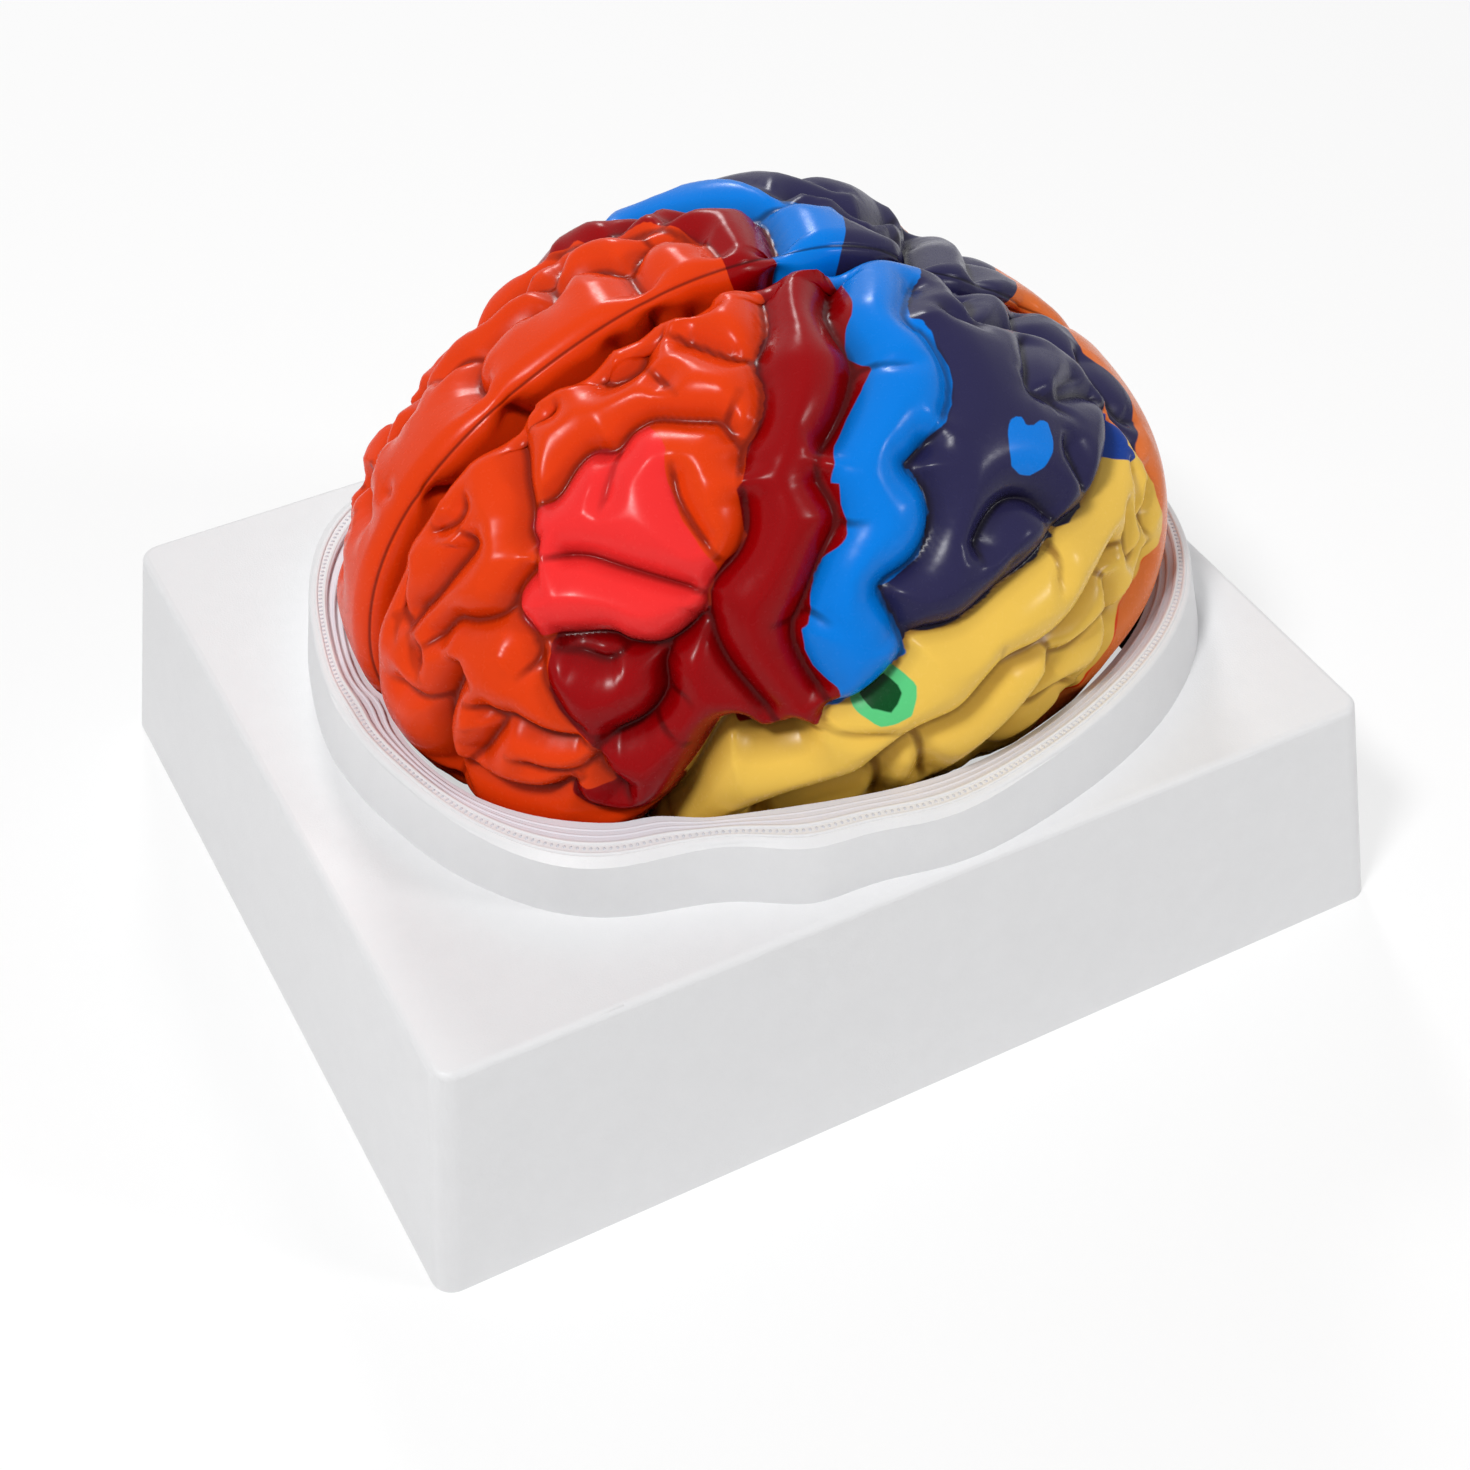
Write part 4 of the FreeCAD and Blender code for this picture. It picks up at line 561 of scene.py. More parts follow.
def outer_reach(form, side, turn):
    """Reach from the cross axis and height over the mid-plane along profiles of the smooth form."""
    way = np.stack((side[:, 0] * np.sin(turn), -np.cos(turn), side[:, 1] * np.sin(turn)), axis=1)
    radius = form_radius(form, way)
    return radius * np.sin(turn), radius * np.cos(turn)


def shape_half(form, raw):
    """Smooth points, inward ways, freedom and distance to the mould seam for the raw block's points."""
    place = np.stack((raw[:, 0] * form.contact_length / 2, raw[:, 2] * form.contact_height / 2), axis=1)
    cap = raw[:, 1] < -1 + SMALL
    flat = raw[:, 1] > 1 - SMALL
    points = np.zeros_like(raw)
    inward = np.zeros_like(raw)
    free = np.ones(len(raw))
    seam = np.full(len(raw), SEAM_FAR)

    way = np.stack((place[:, 0], np.full(len(raw), -CAGE_DEPTH), place[:, 1]), axis=1)
    way /= np.linalg.norm(way, axis=1)[:, None]
    points[cap] = (way * form_radius(form, way)[:, None])[cap]
    inward[cap] = -way[cap]

    points[flat] = np.stack((place[:, 0], 1 - raw[:, 1], place[:, 1]), axis=1)[flat]
    inward[flat] = (0, -1, 0)
    free[flat] = 0

    band = ~(cap | flat)
    rim = np.hypot(place[band, 0], place[band, 1])
    side = place[band] / rim[:, None]
    gap = half_gap(form, side[:, 1])
    share = (raw[band, 1] + 1) / 2
    start = np.arctan2(rim, CAGE_DEPTH)
    low, high = start.copy(), np.full(len(rim), math.pi / 2)
    for _ in range(BISECTIONS):
        middle = (low + high) / 2
        above = outer_reach(form, side, middle)[1] > gap + form.crest_radius
        low = np.where(above, middle, low)
        high = np.where(above, high, middle)
    crest = outer_reach(form, side, low)[0] - form.crest_radius

    turn = start + (low - start) * np.minimum(share / OUTER_SHARE, 1)
    reach, height = outer_reach(form, side, turn)
    across, down = -np.sin(turn), -np.cos(turn)
    on_crest = share >= OUTER_SHARE
    bend = math.pi / 2 * np.clip((share - OUTER_SHARE) / CREST_SHARE, 0, 1)
    reach = np.where(on_crest, crest + form.crest_radius * np.cos(bend), reach)
    height = np.where(on_crest, gap + form.crest_radius * (1 - np.sin(bend)), height)
    across = np.where(on_crest, -np.cos(bend), across)
    down = np.where(on_crest, np.sin(bend), down)
    on_wall = share >= OUTER_SHARE + CREST_SHARE
    along = np.clip((share - OUTER_SHARE - CREST_SHARE) / (1 - OUTER_SHARE - CREST_SHARE), 0, 1)
    reach = np.where(on_wall, crest + (rim - crest) * along, reach)
    limit = np.where(on_wall, smooth_step((reach - rim) / FLAT_MARGIN), 1.0)
    height = np.where(on_wall, gap * limit, height)
    points[band] = np.stack((reach * side[:, 0], -height, reach * side[:, 1]), axis=1)
    inward[band] = np.stack((across * side[:, 0], -down, across * side[:, 1]), axis=1)
    free[band] = limit
    seam[band] = np.where(on_crest & ~on_wall, np.abs(bend - SEAM_BEND) * form.crest_radius, SEAM_FAR)
    return points, inward, free, seam


def smooth_curve(points, steps):
    """Points along a Catmull-Rom curve through the given ones."""
    ends = np.array([points[0]] + list(points) + [points[-1]], dtype=float)
    curve = [ends[0]]
    for index in range(len(points) - 1):
        b, c, d, e = ends[index:index + 4]
        for step in range(1, steps + 1):
            part = step / steps
            curve.append(0.5 * (2 * c + (d - b) * part + (2 * b - 5 * c + 4 * d - e) * part ** 2
                                + (3 * c - b - 3 * d + e) * part ** 3))
    return np.array(curve)


def sulcus_gap(points, curve, reach):
    """Steps from the points near a sulcus to its line, their lengths and their places along it."""
    near = np.flatnonzero(np.all((points > curve.min(axis=0) - reach)
                                 & (points < curve.max(axis=0) + reach), axis=1))
    chosen = points[near]
    best = np.full(len(chosen), reach)
    steps = np.zeros_like(chosen)
    place = np.zeros(len(chosen))
    for index in range(len(curve) - 1):
        chord = curve[index + 1] - curve[index]
        along = np.clip((chosen - curve[index]) @ chord / max(chord @ chord, TINY), 0, 1)
        step = curve[index] + along[:, None] * chord - chosen
        away = np.linalg.norm(step, axis=1)
        closer = away < best
        best = np.where(closer, away, best)
        steps[closer] = step[closer]
        place = np.where(closer, index + along, place)
    return near, steps, best, place


def gather_points(points, free, curves):
    """Slide the points beside each sulcus towards its line; also gives their distances to it."""
    nearest = np.full(len(points), GATHER_REACH)
    slide = np.zeros_like(points)
    for curve, _ in curves:
        near, steps, away, _ = sulcus_gap(points, curve, GATHER_REACH)
        closer = away < nearest[near]
        nearest[near[closer]] = away[closer]
        slide[near[closer]] = steps[closer]
    snapped = SNAP_REACH * SNAP_SHARE
    beyond = snapped + (nearest - SNAP_REACH) * (GATHER_REACH - snapped) / (GATHER_REACH - SNAP_REACH)
    kept = np.where(nearest < SNAP_REACH, nearest * SNAP_SHARE, beyond)
    slid = points + slide * (free * (1 - kept / np.maximum(nearest, TINY)))[:, None]
    return slid, kept


def carve_half(carving, points, curves):
    """Depth of the carving at each point of the smooth form: round gyri beside narrow creases."""
    total = np.zeros(len(points))
    rounding = 1 - math.sqrt(1 - CREASE_SHARPNESS ** 2)
    for curve, shares in curves:
        reach = carving.reach * shares[1]
        near, _, away, place = sulcus_gap(points, curve, reach)
        run = np.concatenate(([0.0], np.cumsum(np.linalg.norm(np.diff(curve, axis=0), axis=1))))
        at = np.interp(place, np.arange(len(curve)), run)
        fade = np.minimum(1.0, END_DEPTH + np.minimum(at, run[-1] - at) / carving.end_fade)
        crown = math.hypot(reach, VALLEY_ROUND) - VALLEY_ROUND
        share = (np.hypot(away, VALLEY_ROUND) - VALLEY_ROUND) / crown
        flank = CREASE_SHARPNESS * (1 - share)
        depth = fade * carving.depth * shares[0] * (1 - np.sqrt(1 - flank ** 2)) / rounding
        total[near] += depth ** BLEND_POWER
    return total ** (1 / BLEND_POWER)


def field_distance(station, roll, outline):
    """Signed distance to a field's outline, in degrees of station: positive inside."""
    ends = np.array(outline, dtype=float)
    nearest = np.full(len(station), FAR_AWAY)
    inside = np.zeros(len(station), dtype=bool)
    width = np.sin(np.radians(np.clip(station, POLE_MARGIN, 180 - POLE_MARGIN)))
    for (s0, r0), (s1, r1) in zip(ends, np.roll(ends, -1, axis=0)):
        ux, uy = s1 - s0, (r1 - r0) * width
        px, py = station - s0, (roll - r0) * width
        along = np.clip((px * ux + py * uy) / np.maximum(ux * ux + uy * uy, TINY), 0, 1)
        nearest = np.minimum(nearest, np.hypot(px - along * ux, py - along * uy))
        crosses = (r0 > roll) != (r1 > roll)
        if r1 != r0:
            inside ^= crosses & (station < (s1 - s0) * (roll - r0) / (r1 - r0) + s0)
    return np.where(inside, nearest, -nearest)


def soften_creases(mesh, beside):
    """Even out the points beside the creases."""
    work = bmesh.new()
    work.from_mesh(mesh)
    work.verts.ensure_lookup_table()
    verts = [work.verts[index] for index in beside]
    for _ in range(SOFTENING_STEPS):
        bmesh.ops.smooth_vert(work, verts=verts, factor=SOFTENING_FACTOR,
                              use_axis_x=True, use_axis_y=True, use_axis_z=True)
    work.to_mesh(mesh)
    work.free()


def in_scene(name, data):
    """A new object of the scene."""
    item = bpy.data.objects.new(name, data)
    bpy.context.scene.collection.objects.link(item)
    return item


def mesh_from(work, name):
    """The mesh of a finished bmesh."""
    mesh = bpy.data.meshes.new(name)
    work.to_mesh(mesh)
    work.free()
    return mesh


def keep_values(mesh, name, values):
    """Store a value at each point of a mesh, for its material."""
    mesh.attributes.new(name, "FLOAT", "POINT").data.foreach_set("value", values)


def finished_piece(name, mesh, material):
    """Put a mesh into the scene as a piece of the object."""
    piece = in_scene(name, mesh)
    mesh.materials.append(material)
    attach(piece, "root")
    return piece


def raw_block(form):
    """A block of fine faces; its meeting side is one flat field with the two pegs' sockets."""
    block = bmesh.new()
    bmesh.ops.create_cube(block, size=2.0)
    bmesh.ops.subdivide_edges(block, edges=block.edges[:], cuts=form.cuts, use_grid_fill=True)
    meeting = [face for face in block.faces if face.calc_center_median().y > 1 - SMALL]
    bmesh.ops.delete(block, geom=meeting, context="FACES")
    for face in block.faces:
        face.smooth = True
    rims = [edge for edge in block.edges if edge.is_boundary]
    across = 2 * form.socket_radius / form.contact_length
    upward = 2 * form.socket_radius / form.contact_height
    sockets = []
    for way in (-1, 1):
        ring = bmesh.ops.create_circle(block, segments=SOCKET_SEGMENTS, radius=1.0)["verts"]
        bmesh.ops.rotate(block, cent=(0, 0, 0), matrix=Matrix.Rotation(math.pi / 2, 3, "X"), verts=ring)
        bmesh.ops.scale(block, vec=(across, 1, upward), verts=ring)
        bmesh.ops.translate(block, vec=(way * form.peg_spacing / form.contact_length, 1, 0), verts=ring)
        edges = list({edge for vert in ring for edge in vert.link_edges})
        sockets.append(edges)
        rims += edges
    bmesh.ops.triangle_fill(block, edges=rims, use_beauty=True)
    for edges in sockets:
        made = bmesh.ops.extrude_edge_only(block, edges=edges)["geom"]
        ends = [item for item in made if isinstance(item, bmesh.types.BMVert)]
        bmesh.ops.translate(block, vec=(0, form.socket_depth, 0), verts=ends)
        floor = [item for item in made if isinstance(item, bmesh.types.BMEdge)]
        bmesh.ops.edgeloop_fill(block, edges=floor)
    bmesh.ops.recalc_face_normals(block, faces=block.faces[:])
    return block


def make_half(settings, side):
    """The carved and painted mesh of one half."""
    form, carving = settings.brain_form, settings.brain_carving
    mesh = mesh_from(raw_block(form), side + "_cortex")

    raw = np.empty(len(mesh.vertices) * 3)
    mesh.vertices.foreach_get("co", raw)
    points, inward, free, seam = shape_half(form, raw.reshape(-1, 3))
    eye = (np.array(CAMERA_PLACE) - np.array(CENTRE)) / MM
    top = LEFT_TOP_SULCI
    if side == "right":
        eye[1] *= -1
        top = RIGHT_TOP_SULCI
    curves = [(wall_points(form, smooth_curve(line, CURVE_STEPS)), shares)
              for shares, line in WALL_SULCI.values()]
    base, slope, most = SEEN_DEPTH
    for table in (SIDE_SULCI, top, UNDER_SULCI):
        for shares, line in table.values():
            depth = carving.depth * min(most, base + slope * shares[0])
            curve = form_points(form, smooth_curve(line, CURVE_STEPS))
            curves.append((seen_from(form, curve, eye, depth), shares))
    points, groove = gather_points(points, free, curves)
    depth = free * carve_half(carving, points, curves)
    station, roll = places_of(points).T
    for name, outline in painted_fields(side).items():
        if not outline:
            keep_values(mesh, name, np.full(len(points), UNPAINTED))
            continue
        places = np.array(outline, dtype=float)
        under = SPOT_DEPTHS.get(name, base + slope)
        seen = seen_from(form, form_points(form, places), eye, carving.depth * under)
        turn = (places_of(seen) - places + 180) % 360 - 180
        keep_values(mesh, name, field_distance(station, roll, places + turn))
    if side == "left":
        seam[:] = SEAM_FAR
    keep_values(mesh, "crease", depth / carving.depth)
    keep_values(mesh, "groove", groove)
    keep_values(mesh, "seam", seam)
    depth += SEAM_DEPTH * np.clip(1 - seam / SEAM_WIDTH, 0, 1)

    points += inward * depth[:, None]
    if side == "right":
        points[:, 1] *= -1
    points = points * MM + np.array(CENTRE)
    mesh.vertices.foreach_set("co", points.ravel())
    if side == "right":
        mesh.flip_normals()
    soften_creases(mesh, np.flatnonzero((groove < GATHER_REACH) & (free > FREE_LIMIT)))
    piece = finished_piece(side + "_cortex", mesh, cortex_paint(settings.brain_paint))
    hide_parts(side + "_hemisphere")


# Materials

# A grain: scale and detail of its noise, lowest and highest roughness, strength of its bump.
PAINT_GRAIN = (900, 3.0, 0.21, 0.29, 0.035)
STAND_GRAIN = (2600, 2.0, 0.38, 0.5, 0.25)
TRIM_GRAIN = (2600, 2.0, 0.38, 0.5, 0.2)
PEG_GRAIN = (1500, 2.0, 0.4, 0.55, 0.1)
GRAIN_DEPTH = 0.0002
# The part of a noise's range that is used.
NOISE_LOW = 0.3
NOISE_HIGH = 0.7
SOFT_DETAIL = 3.0
PAINT_GLOSS = 0.12
PLASTIC_GLOSS = 0.35
# A painted edge blurs over this many degrees and wanders with a noise of this scale and detail.
PAINT_EDGE = 0.1
PAINT_WANDER = 0.28
WANDER_NOISE = (120, 1.0)
# Painted shade in creases and seam: the range of its value, the range of its share, then the colour that
# darkens it.
GROOVE_LINE = (0.15, 1.1, 0.75, 0.0)
GROOVE_DEPTH = (0.15, 0.6, 0.0, 1.0)
GROOVE_SHADE = (0.3, 0.2, 0.2, 1)
CREASE_SHADE_RANGE = (0.5, 1.2, 0.0, 0.6)
CREASE_SHADE_COLOUR = (0.32, 0.25, 0.25, 1)
SEAM_LINE = (0.1, 0.45, 0.8, 0.0)
SEAM_SHADE = (0.2, 0.16, 0.16, 1)
# Paint whose tone varies at random, darker in clouds.
CLOUD_SCALE = 45
CLOUD_SHARE = 0.16
CLOUD_SHADE = (0.7, 0.66, 0.66, 1)
# The stand's plastic is faintly mottled, and its level terraces are tinted.
MOTTLE_SCALE = 180
MOTTLE_SHARE = 0.05
MOTTLE_SHADE = (0.5, 0.5, 0.52, 1)
LEVEL_NORMAL = 0.9
PEG_GREY = (0.72, 0.72, 0.72)


def new_material(name):
    """A material with one principled shader."""
    material = bpy.data.materials.new(name)
    material.use_nodes = True
    nodes = material.node_tree.nodes
    shader = nodes["Principled BSDF"]
    return material, nodes, material.node_tree.links, shader


def object_noise(nodes, links, scale, detail=SOFT_DETAIL):
    """A noise on object coordinates."""
    place = nodes.new("ShaderNodeTexCoord")
    texture = nodes.new("ShaderNodeTexNoise")
    texture.inputs["Scale"].default_value = scale
    texture.inputs["Detail"].default_value = detail
    links.new(place.outputs["Object"], texture.inputs["Vector"])
    return texture.outputs[0]


def point_value(nodes, name):
    """A value that is stored at the points of a mesh."""
    node = nodes.new("ShaderNodeAttribute")
    node.attribute_name = name
    return node.outputs["Fac"]


def ranged(nodes, links, source, low, high, to_low, to_high):
    """A value mapped from one range to another and clamped."""
    node = nodes.new("ShaderNodeMapRange")
    node.inputs["From Min"].default_value = low
    node.inputs["From Max"].default_value = high
    node.inputs["To Min"].default_value = to_low
    node.inputs["To Max"].default_value = to_high
    links.new(source, node.inputs["Value"])
    return node.outputs["Result"]


def maths(nodes, links, operation, first, second):
    """Two values worked into one; each is a socket or a number."""
    node = nodes.new("ShaderNodeMath")
    node.operation = operation
    for value, socket in ((first, node.inputs[0]), (second, node.inputs[1])):
        if isinstance(value, (int, float)):
            socket.default_value = value
        else:
            links.new(value, socket)
    return node.outputs[0]


def mixed(nodes, links, factor, first, second, blend="MIX"):
    """Two colours mixed; each is a socket or a linear colour."""
    node = nodes.new("ShaderNodeMix")
    node.data_type = "RGBA"
    node.blend_type = blend
    if isinstance(factor, (int, float)):
        node.inputs["Factor"].default_value = factor
    else:
        links.new(factor, node.inputs["Factor"])
    for value, socket in ((first, node.inputs[6]), (second, node.inputs[7])):
        if isinstance(value, tuple):
            socket.default_value = value
        else:
            links.new(value, socket)
    return node.outputs[2]


def shaded(nodes, links, share, seen, shade):
    """A colour with a darker one of its own mixed in."""
    return mixed(nodes, links, share, seen, mixed(nodes, links, 1.0, seen, shade, "MULTIPLY"))


def grained(nodes, links, shader, grain):
    """A fine grain in a shader's roughness and bump."""
    scale, detail, smoothest, roughest, strength = grain
    height = object_noise(nodes, links, scale, detail)
    rough = ranged(nodes, links, height, NOISE_LOW, NOISE_HIGH, smoothest, roughest)
    links.new(rough, shader.inputs["Roughness"])
    node = nodes.new("ShaderNodeBump")
    node.inputs["Strength"].default_value = strength
    node.inputs["Distance"].default_value = GRAIN_DEPTH
    links.new(height, node.inputs["Height"])
    links.new(node.outputs["Normal"], shader.inputs["Normal"])


def cortex_paint(paint):
    """Hand-painted fields under a satin lacquer, with painted shade in the creases and in the mould seam.
    """
    found = bpy.data.materials.get("painted_cortex")
    if found:
        return found
    material, nodes, links, shader = new_material("painted_cortex")
    wander = ranged(nodes, links, object_noise(nodes, links, *WANDER_NOISE), NOISE_LOW, NOISE_HIGH,
                    -PAINT_WANDER, PAINT_WANDER)
    seen = linear(paint.frontal_orange)
    for name in painted_fields("left"):
        edge = maths(nodes, links, "ADD", point_value(nodes, name), wander)
        share = ranged(nodes, links, edge, -PAINT_EDGE, PAINT_EDGE, 0, 1)
        seen = mixed(nodes, links, share, seen, linear(getattr(paint, name)))
    # Painted shade: a dark line along the bottom of each crease, and more painted shade where the creases
    # are deepest.
    crease = point_value(nodes, "crease")
    line = maths(nodes, links, "MULTIPLY", ranged(nodes, links, point_value(nodes, "groove"), *GROOVE_LINE),
                 ranged(nodes, links, crease, *GROOVE_DEPTH))
    seen = shaded(nodes, links, line, seen, GROOVE_SHADE)
    seen = shaded(nodes, links, ranged(nodes, links, crease, *CREASE_SHADE_RANGE), seen, CREASE_SHADE_COLOUR)
    # Painted shade in the fine groove of the mould seam.
    seam = ranged(nodes, links, point_value(nodes, "seam"), *SEAM_LINE)
    seen = shaded(nodes, links, seam, seen, SEAM_SHADE)
    cloud = ranged(nodes, links, object_noise(nodes, links, CLOUD_SCALE), NOISE_LOW, NOISE_HIGH,
                   0.0, CLOUD_SHARE)
    seen = shaded(nodes, links, cloud, seen, CLOUD_SHADE)
    links.new(seen, shader.inputs["Base Color"])
    shader.inputs["Specular IOR Level"].default_value = PAINT_GLOSS
    grained(nodes, links, shader, PAINT_GRAIN)
    return material


def stand_plastic(stand):
    """White satin plastic with a fine moulded grain, and a tint on the terraces."""
    material, nodes, links, shader = new_material("white_stand")
    place = nodes.new("ShaderNodeTexCoord")
    split = nodes.new("ShaderNodeSeparateXYZ")
    links.new(place.outputs["Object"], split.inputs[0])
    surface = nodes.new("ShaderNodeNewGeometry")
    facing = nodes.new("ShaderNodeSeparateXYZ")
    links.new(surface.outputs["Normal"], facing.inputs[0])
    rise = stand.terrace_rise * MM
    deepest = STAND_TOP - (TERRACE_COUNT + 0.5) * rise
    low = maths(nodes, links, "LESS_THAN", split.outputs["Z"], STAND_TOP - rise / 2)
    high = maths(nodes, links, "GREATER_THAN", split.outputs["Z"], deepest)
    level = maths(nodes, links, "GREATER_THAN", facing.outputs["Z"], LEVEL_NORMAL)
    share = maths(nodes, links, "MULTIPLY", maths(nodes, links, "MULTIPLY", low, high), level)
    seen = mixed(nodes, links, share, linear(stand.plastic), linear(stand.tint))
    mottle = ranged(nodes, links, object_noise(nodes, links, MOTTLE_SCALE), NOISE_LOW, NOISE_HIGH,
                    0.0, MOTTLE_SHARE)
    links.new(mixed(nodes, links, mottle, seen, MOTTLE_SHADE), shader.inputs["Base Color"])
    shader.inputs["Specular IOR Level"].default_value = PLASTIC_GLOSS
    grained(nodes, links, shader, STAND_GRAIN)
    return material


def trim_plastic(name, tint):
    """The same plastic in another tint, for the trim."""
    material, nodes, links, shader = new_material(name)
    shader.inputs["Base Color"].default_value = linear(tint)
    shader.inputs["Specular IOR Level"].default_value = PLASTIC_GLOSS
    grained(nodes, links, shader, TRIM_GRAIN)
    return material


def peg_plastic():
    """Plain grey plastic of the locating pegs."""
    material, nodes, links, shader = new_material("grey_peg")
    shader.inputs["Base Color"].default_value = linear(PEG_GREY)
    grained(nodes, links, shader, PEG_GRAIN)
    return material


# The stand's trim, which follows the brain's section at the opening's edge

# Points round the opening, the points on either side that give a normal, and the lowest elevation of the
# search for the opening's edge, in degrees.
SECTION_POINTS = 288
SECTION_STEP = 3
LOWEST_ELEVATION = -80.0
TERRACE_COUNT = 3
# Places on the flat band and depths in it. A bead's shape is told along the line, across it and upwards.
BEAD_OFFSET = 6.1
BEAD_SHAPE = (0.7, 1.1, 1.0)
BEAD_SINK = 0.0002
LEAST_BEADS = 8
RIDGE_STEP = 0.85
RIDGE_SINK = 0.0001
LIP_INSET = 0.5
LIP_DROP = 0.7
RIDGE_SEGMENTS = 10
RIM_SEGMENTS = 24
# Waves of the collar on either side: azimuth from the frontal pole, amount outwards as a share of the
# band, and spread in degrees.
OPENING_WAVES = ((0, -0.21, 3.5), (46, -0.19, 4))
RIM_WAVES = ((14, -0.15, 8), (37, 0.58, 11), (66, 0.49, 9), (86, 0.40, 13), (180, -0.21, 25))


def wave(waves, azimuth):
    """Sum of the waves at azimuths, as a share of the band."""
    turn = np.minimum(azimuth, 360 - azimuth)
    return sum(amount * np.exp(-((turn - place) / spread) ** 2) for place, amount, spread in waves)


def collar_line(settings, offset):
    """A closed level line round the opening, in metres, and its outward normals; offset is in mm."""
    form, stand = settings.brain_form, settings.brain_stand
    turned = np.arange(SECTION_POINTS) * 360 / SECTION_POINTS
    azimuth = np.radians(turned)
    drop = (CENTRE.z - STAND_TOP) / MM + TERRACE_COUNT * stand.terrace_rise
    low = np.full(SECTION_POINTS, math.radians(LOWEST_ELEVATION))
    high = np.zeros(SECTION_POINTS)
    for _ in range(BISECTIONS):
        middle = (low + high) / 2
        way = np.stack((-np.cos(azimuth) * np.cos(middle), -np.sin(azimuth) * np.cos(middle),
                        np.sin(middle)), axis=1)
        radius = form_radius(form, way)
        under = radius * way[:, 2] < -drop
        low = np.where(under, middle, low)
        high = np.where(under, high, middle)
    line = (way * radius[:, None])[:, :2]
    along = np.roll(line, -SECTION_STEP, axis=0) - np.roll(line, SECTION_STEP, axis=0)
    normal = np.stack((along[:, 1], -along[:, 0]), axis=1)
    normal /= np.linalg.norm(normal, axis=1)[:, None]
    normal *= np.sign((normal * line).sum(axis=1))[:, None]
    share = offset / stand.collar_band
    waves = share * wave(RIM_WAVES, turned) + (1 - share) * wave(OPENING_WAVES, turned)
    grown = stand.opening_clearance + offset + stand.collar_band * waves
    line = (line + normal * grown[:, None]) * MM + np.array(CENTRE)[:2]
    along = np.roll(line, -1, axis=0) - np.roll(line, 1, axis=0)
    facing = np.stack((along[:, 1], -along[:, 0]), axis=1)
    facing /= np.linalg.norm(facing, axis=1)[:, None]
    facing *= np.sign((facing * normal).sum(axis=1))[:, None]
    return line, facing


def evenly(line, pitch):
    """Points at an even pitch along a closed line, with their headings."""
    ring = np.vstack((line, line[:1]))
    run = np.concatenate(([0.0], np.cumsum(np.linalg.norm(np.diff(ring, axis=0), axis=1))))
    count = max(LEAST_BEADS, round(run[-1] / pitch))
    at = np.arange(count) * run[-1] / count
    points = np.stack((np.interp(at, run, ring[:, 0]), np.interp(at, run, ring[:, 1])), axis=1)
    ahead = np.roll(points, -1, axis=0) - np.roll(points, 1, axis=0)
    return points, np.arctan2(ahead[:, 1], ahead[:, 0])


def swept_ring(settings, name, offset, level, radius, material, segments=RIDGE_SEGMENTS):
    """A closed round ridge along the collar; its level and radius are in metres."""
    line, normal = collar_line(settings, offset)
    ridge = bmesh.new()
    section = bmesh.ops.create_circle(ridge, segments=segments, radius=1.0)["verts"]
    shape = [(vert.co.x, vert.co.y) for vert in section]
    edges = ridge.edges[:]
    rings = [section]
    for _ in range(SECTION_POINTS - 1):
        made = bmesh.ops.extrude_edge_only(ridge, edges=edges)["geom"]
        rings.append([item for item in made if isinstance(item, bmesh.types.BMVert)])
        edges = [item for item in made if isinstance(item, bmesh.types.BMEdge)]
    for ring, (x, y), (nx, ny) in zip(rings, line, normal):
        for vert, (out, up) in zip(ring, shape):
            vert.co = (x + nx * radius * out, y + ny * radius * out, level + radius * up)
    bmesh.ops.bridge_loops(ridge, edges=[edge for edge in ridge.edges if edge.is_boundary])
    bmesh.ops.recalc_face_normals(ridge, faces=ridge.faces)
    for face in ridge.faces:
        face.smooth = True
    finished_piece(name, mesh_from(ridge, name), material)


def make_stand_trim(settings):
    """Rounded terraces, a rounded rim, and beads between two fine ridges on the flat band."""
    stand = settings.brain_stand
    white = bpy.data.materials["white_stand"]
    lip = trim_plastic("tinted_lip", stand.tint)
    top = STAND_TOP
    line, _ = collar_line(settings, BEAD_OFFSET)
    spots, headings = evenly(line, stand.bead_pitch * MM)
    beads = bmesh.new()
    for (x, y), heading in zip(spots, headings):
        made = bmesh.ops.create_icosphere(beads, subdivisions=1, radius=stand.bead_radius * MM)["verts"]
        bmesh.ops.scale(beads, vec=BEAD_SHAPE, verts=made)
        bmesh.ops.rotate(beads, cent=(0, 0, 0), matrix=Matrix.Rotation(heading, 3, "Z"), verts=made)
        bmesh.ops.translate(beads, vec=(x, y, top - BEAD_SINK), verts=made)
    for face in beads.faces:
        face.smooth = True
    # The beads' darker colour is painted shade between them.
    grey = trim_plastic("shaded_bead", stand.bead_shade)
    finished_piece("collar_beads", mesh_from(beads, "collar_beads"), grey)

    fine = stand.ridge_radius * MM
    for number, offset in enumerate((BEAD_OFFSET - RIDGE_STEP, BEAD_OFFSET + RIDGE_STEP), start=1):
        swept_ring(settings, "collar_ridge_%d" % number, offset, top - RIDGE_SINK, fine, white)
    lip_radius = stand.lip_radius * MM
    for step in range(TERRACE_COUNT):
        offset = stand.terrace_width * (TERRACE_COUNT - step) + stand.lip_radius * LIP_INSET
        level = top - step * stand.terrace_rise * MM - lip_radius * LIP_DROP
        swept_ring(settings, "terrace_lip_%d" % (step + 1), offset, level, lip_radius, lip)
    round_radius = stand.rim_radius * MM
    swept_ring(settings, "collar_rim", stand.collar_band - stand.rim_radius, top - round_radius,
               round_radius, white, segments=RIM_SEGMENTS)


# Stage

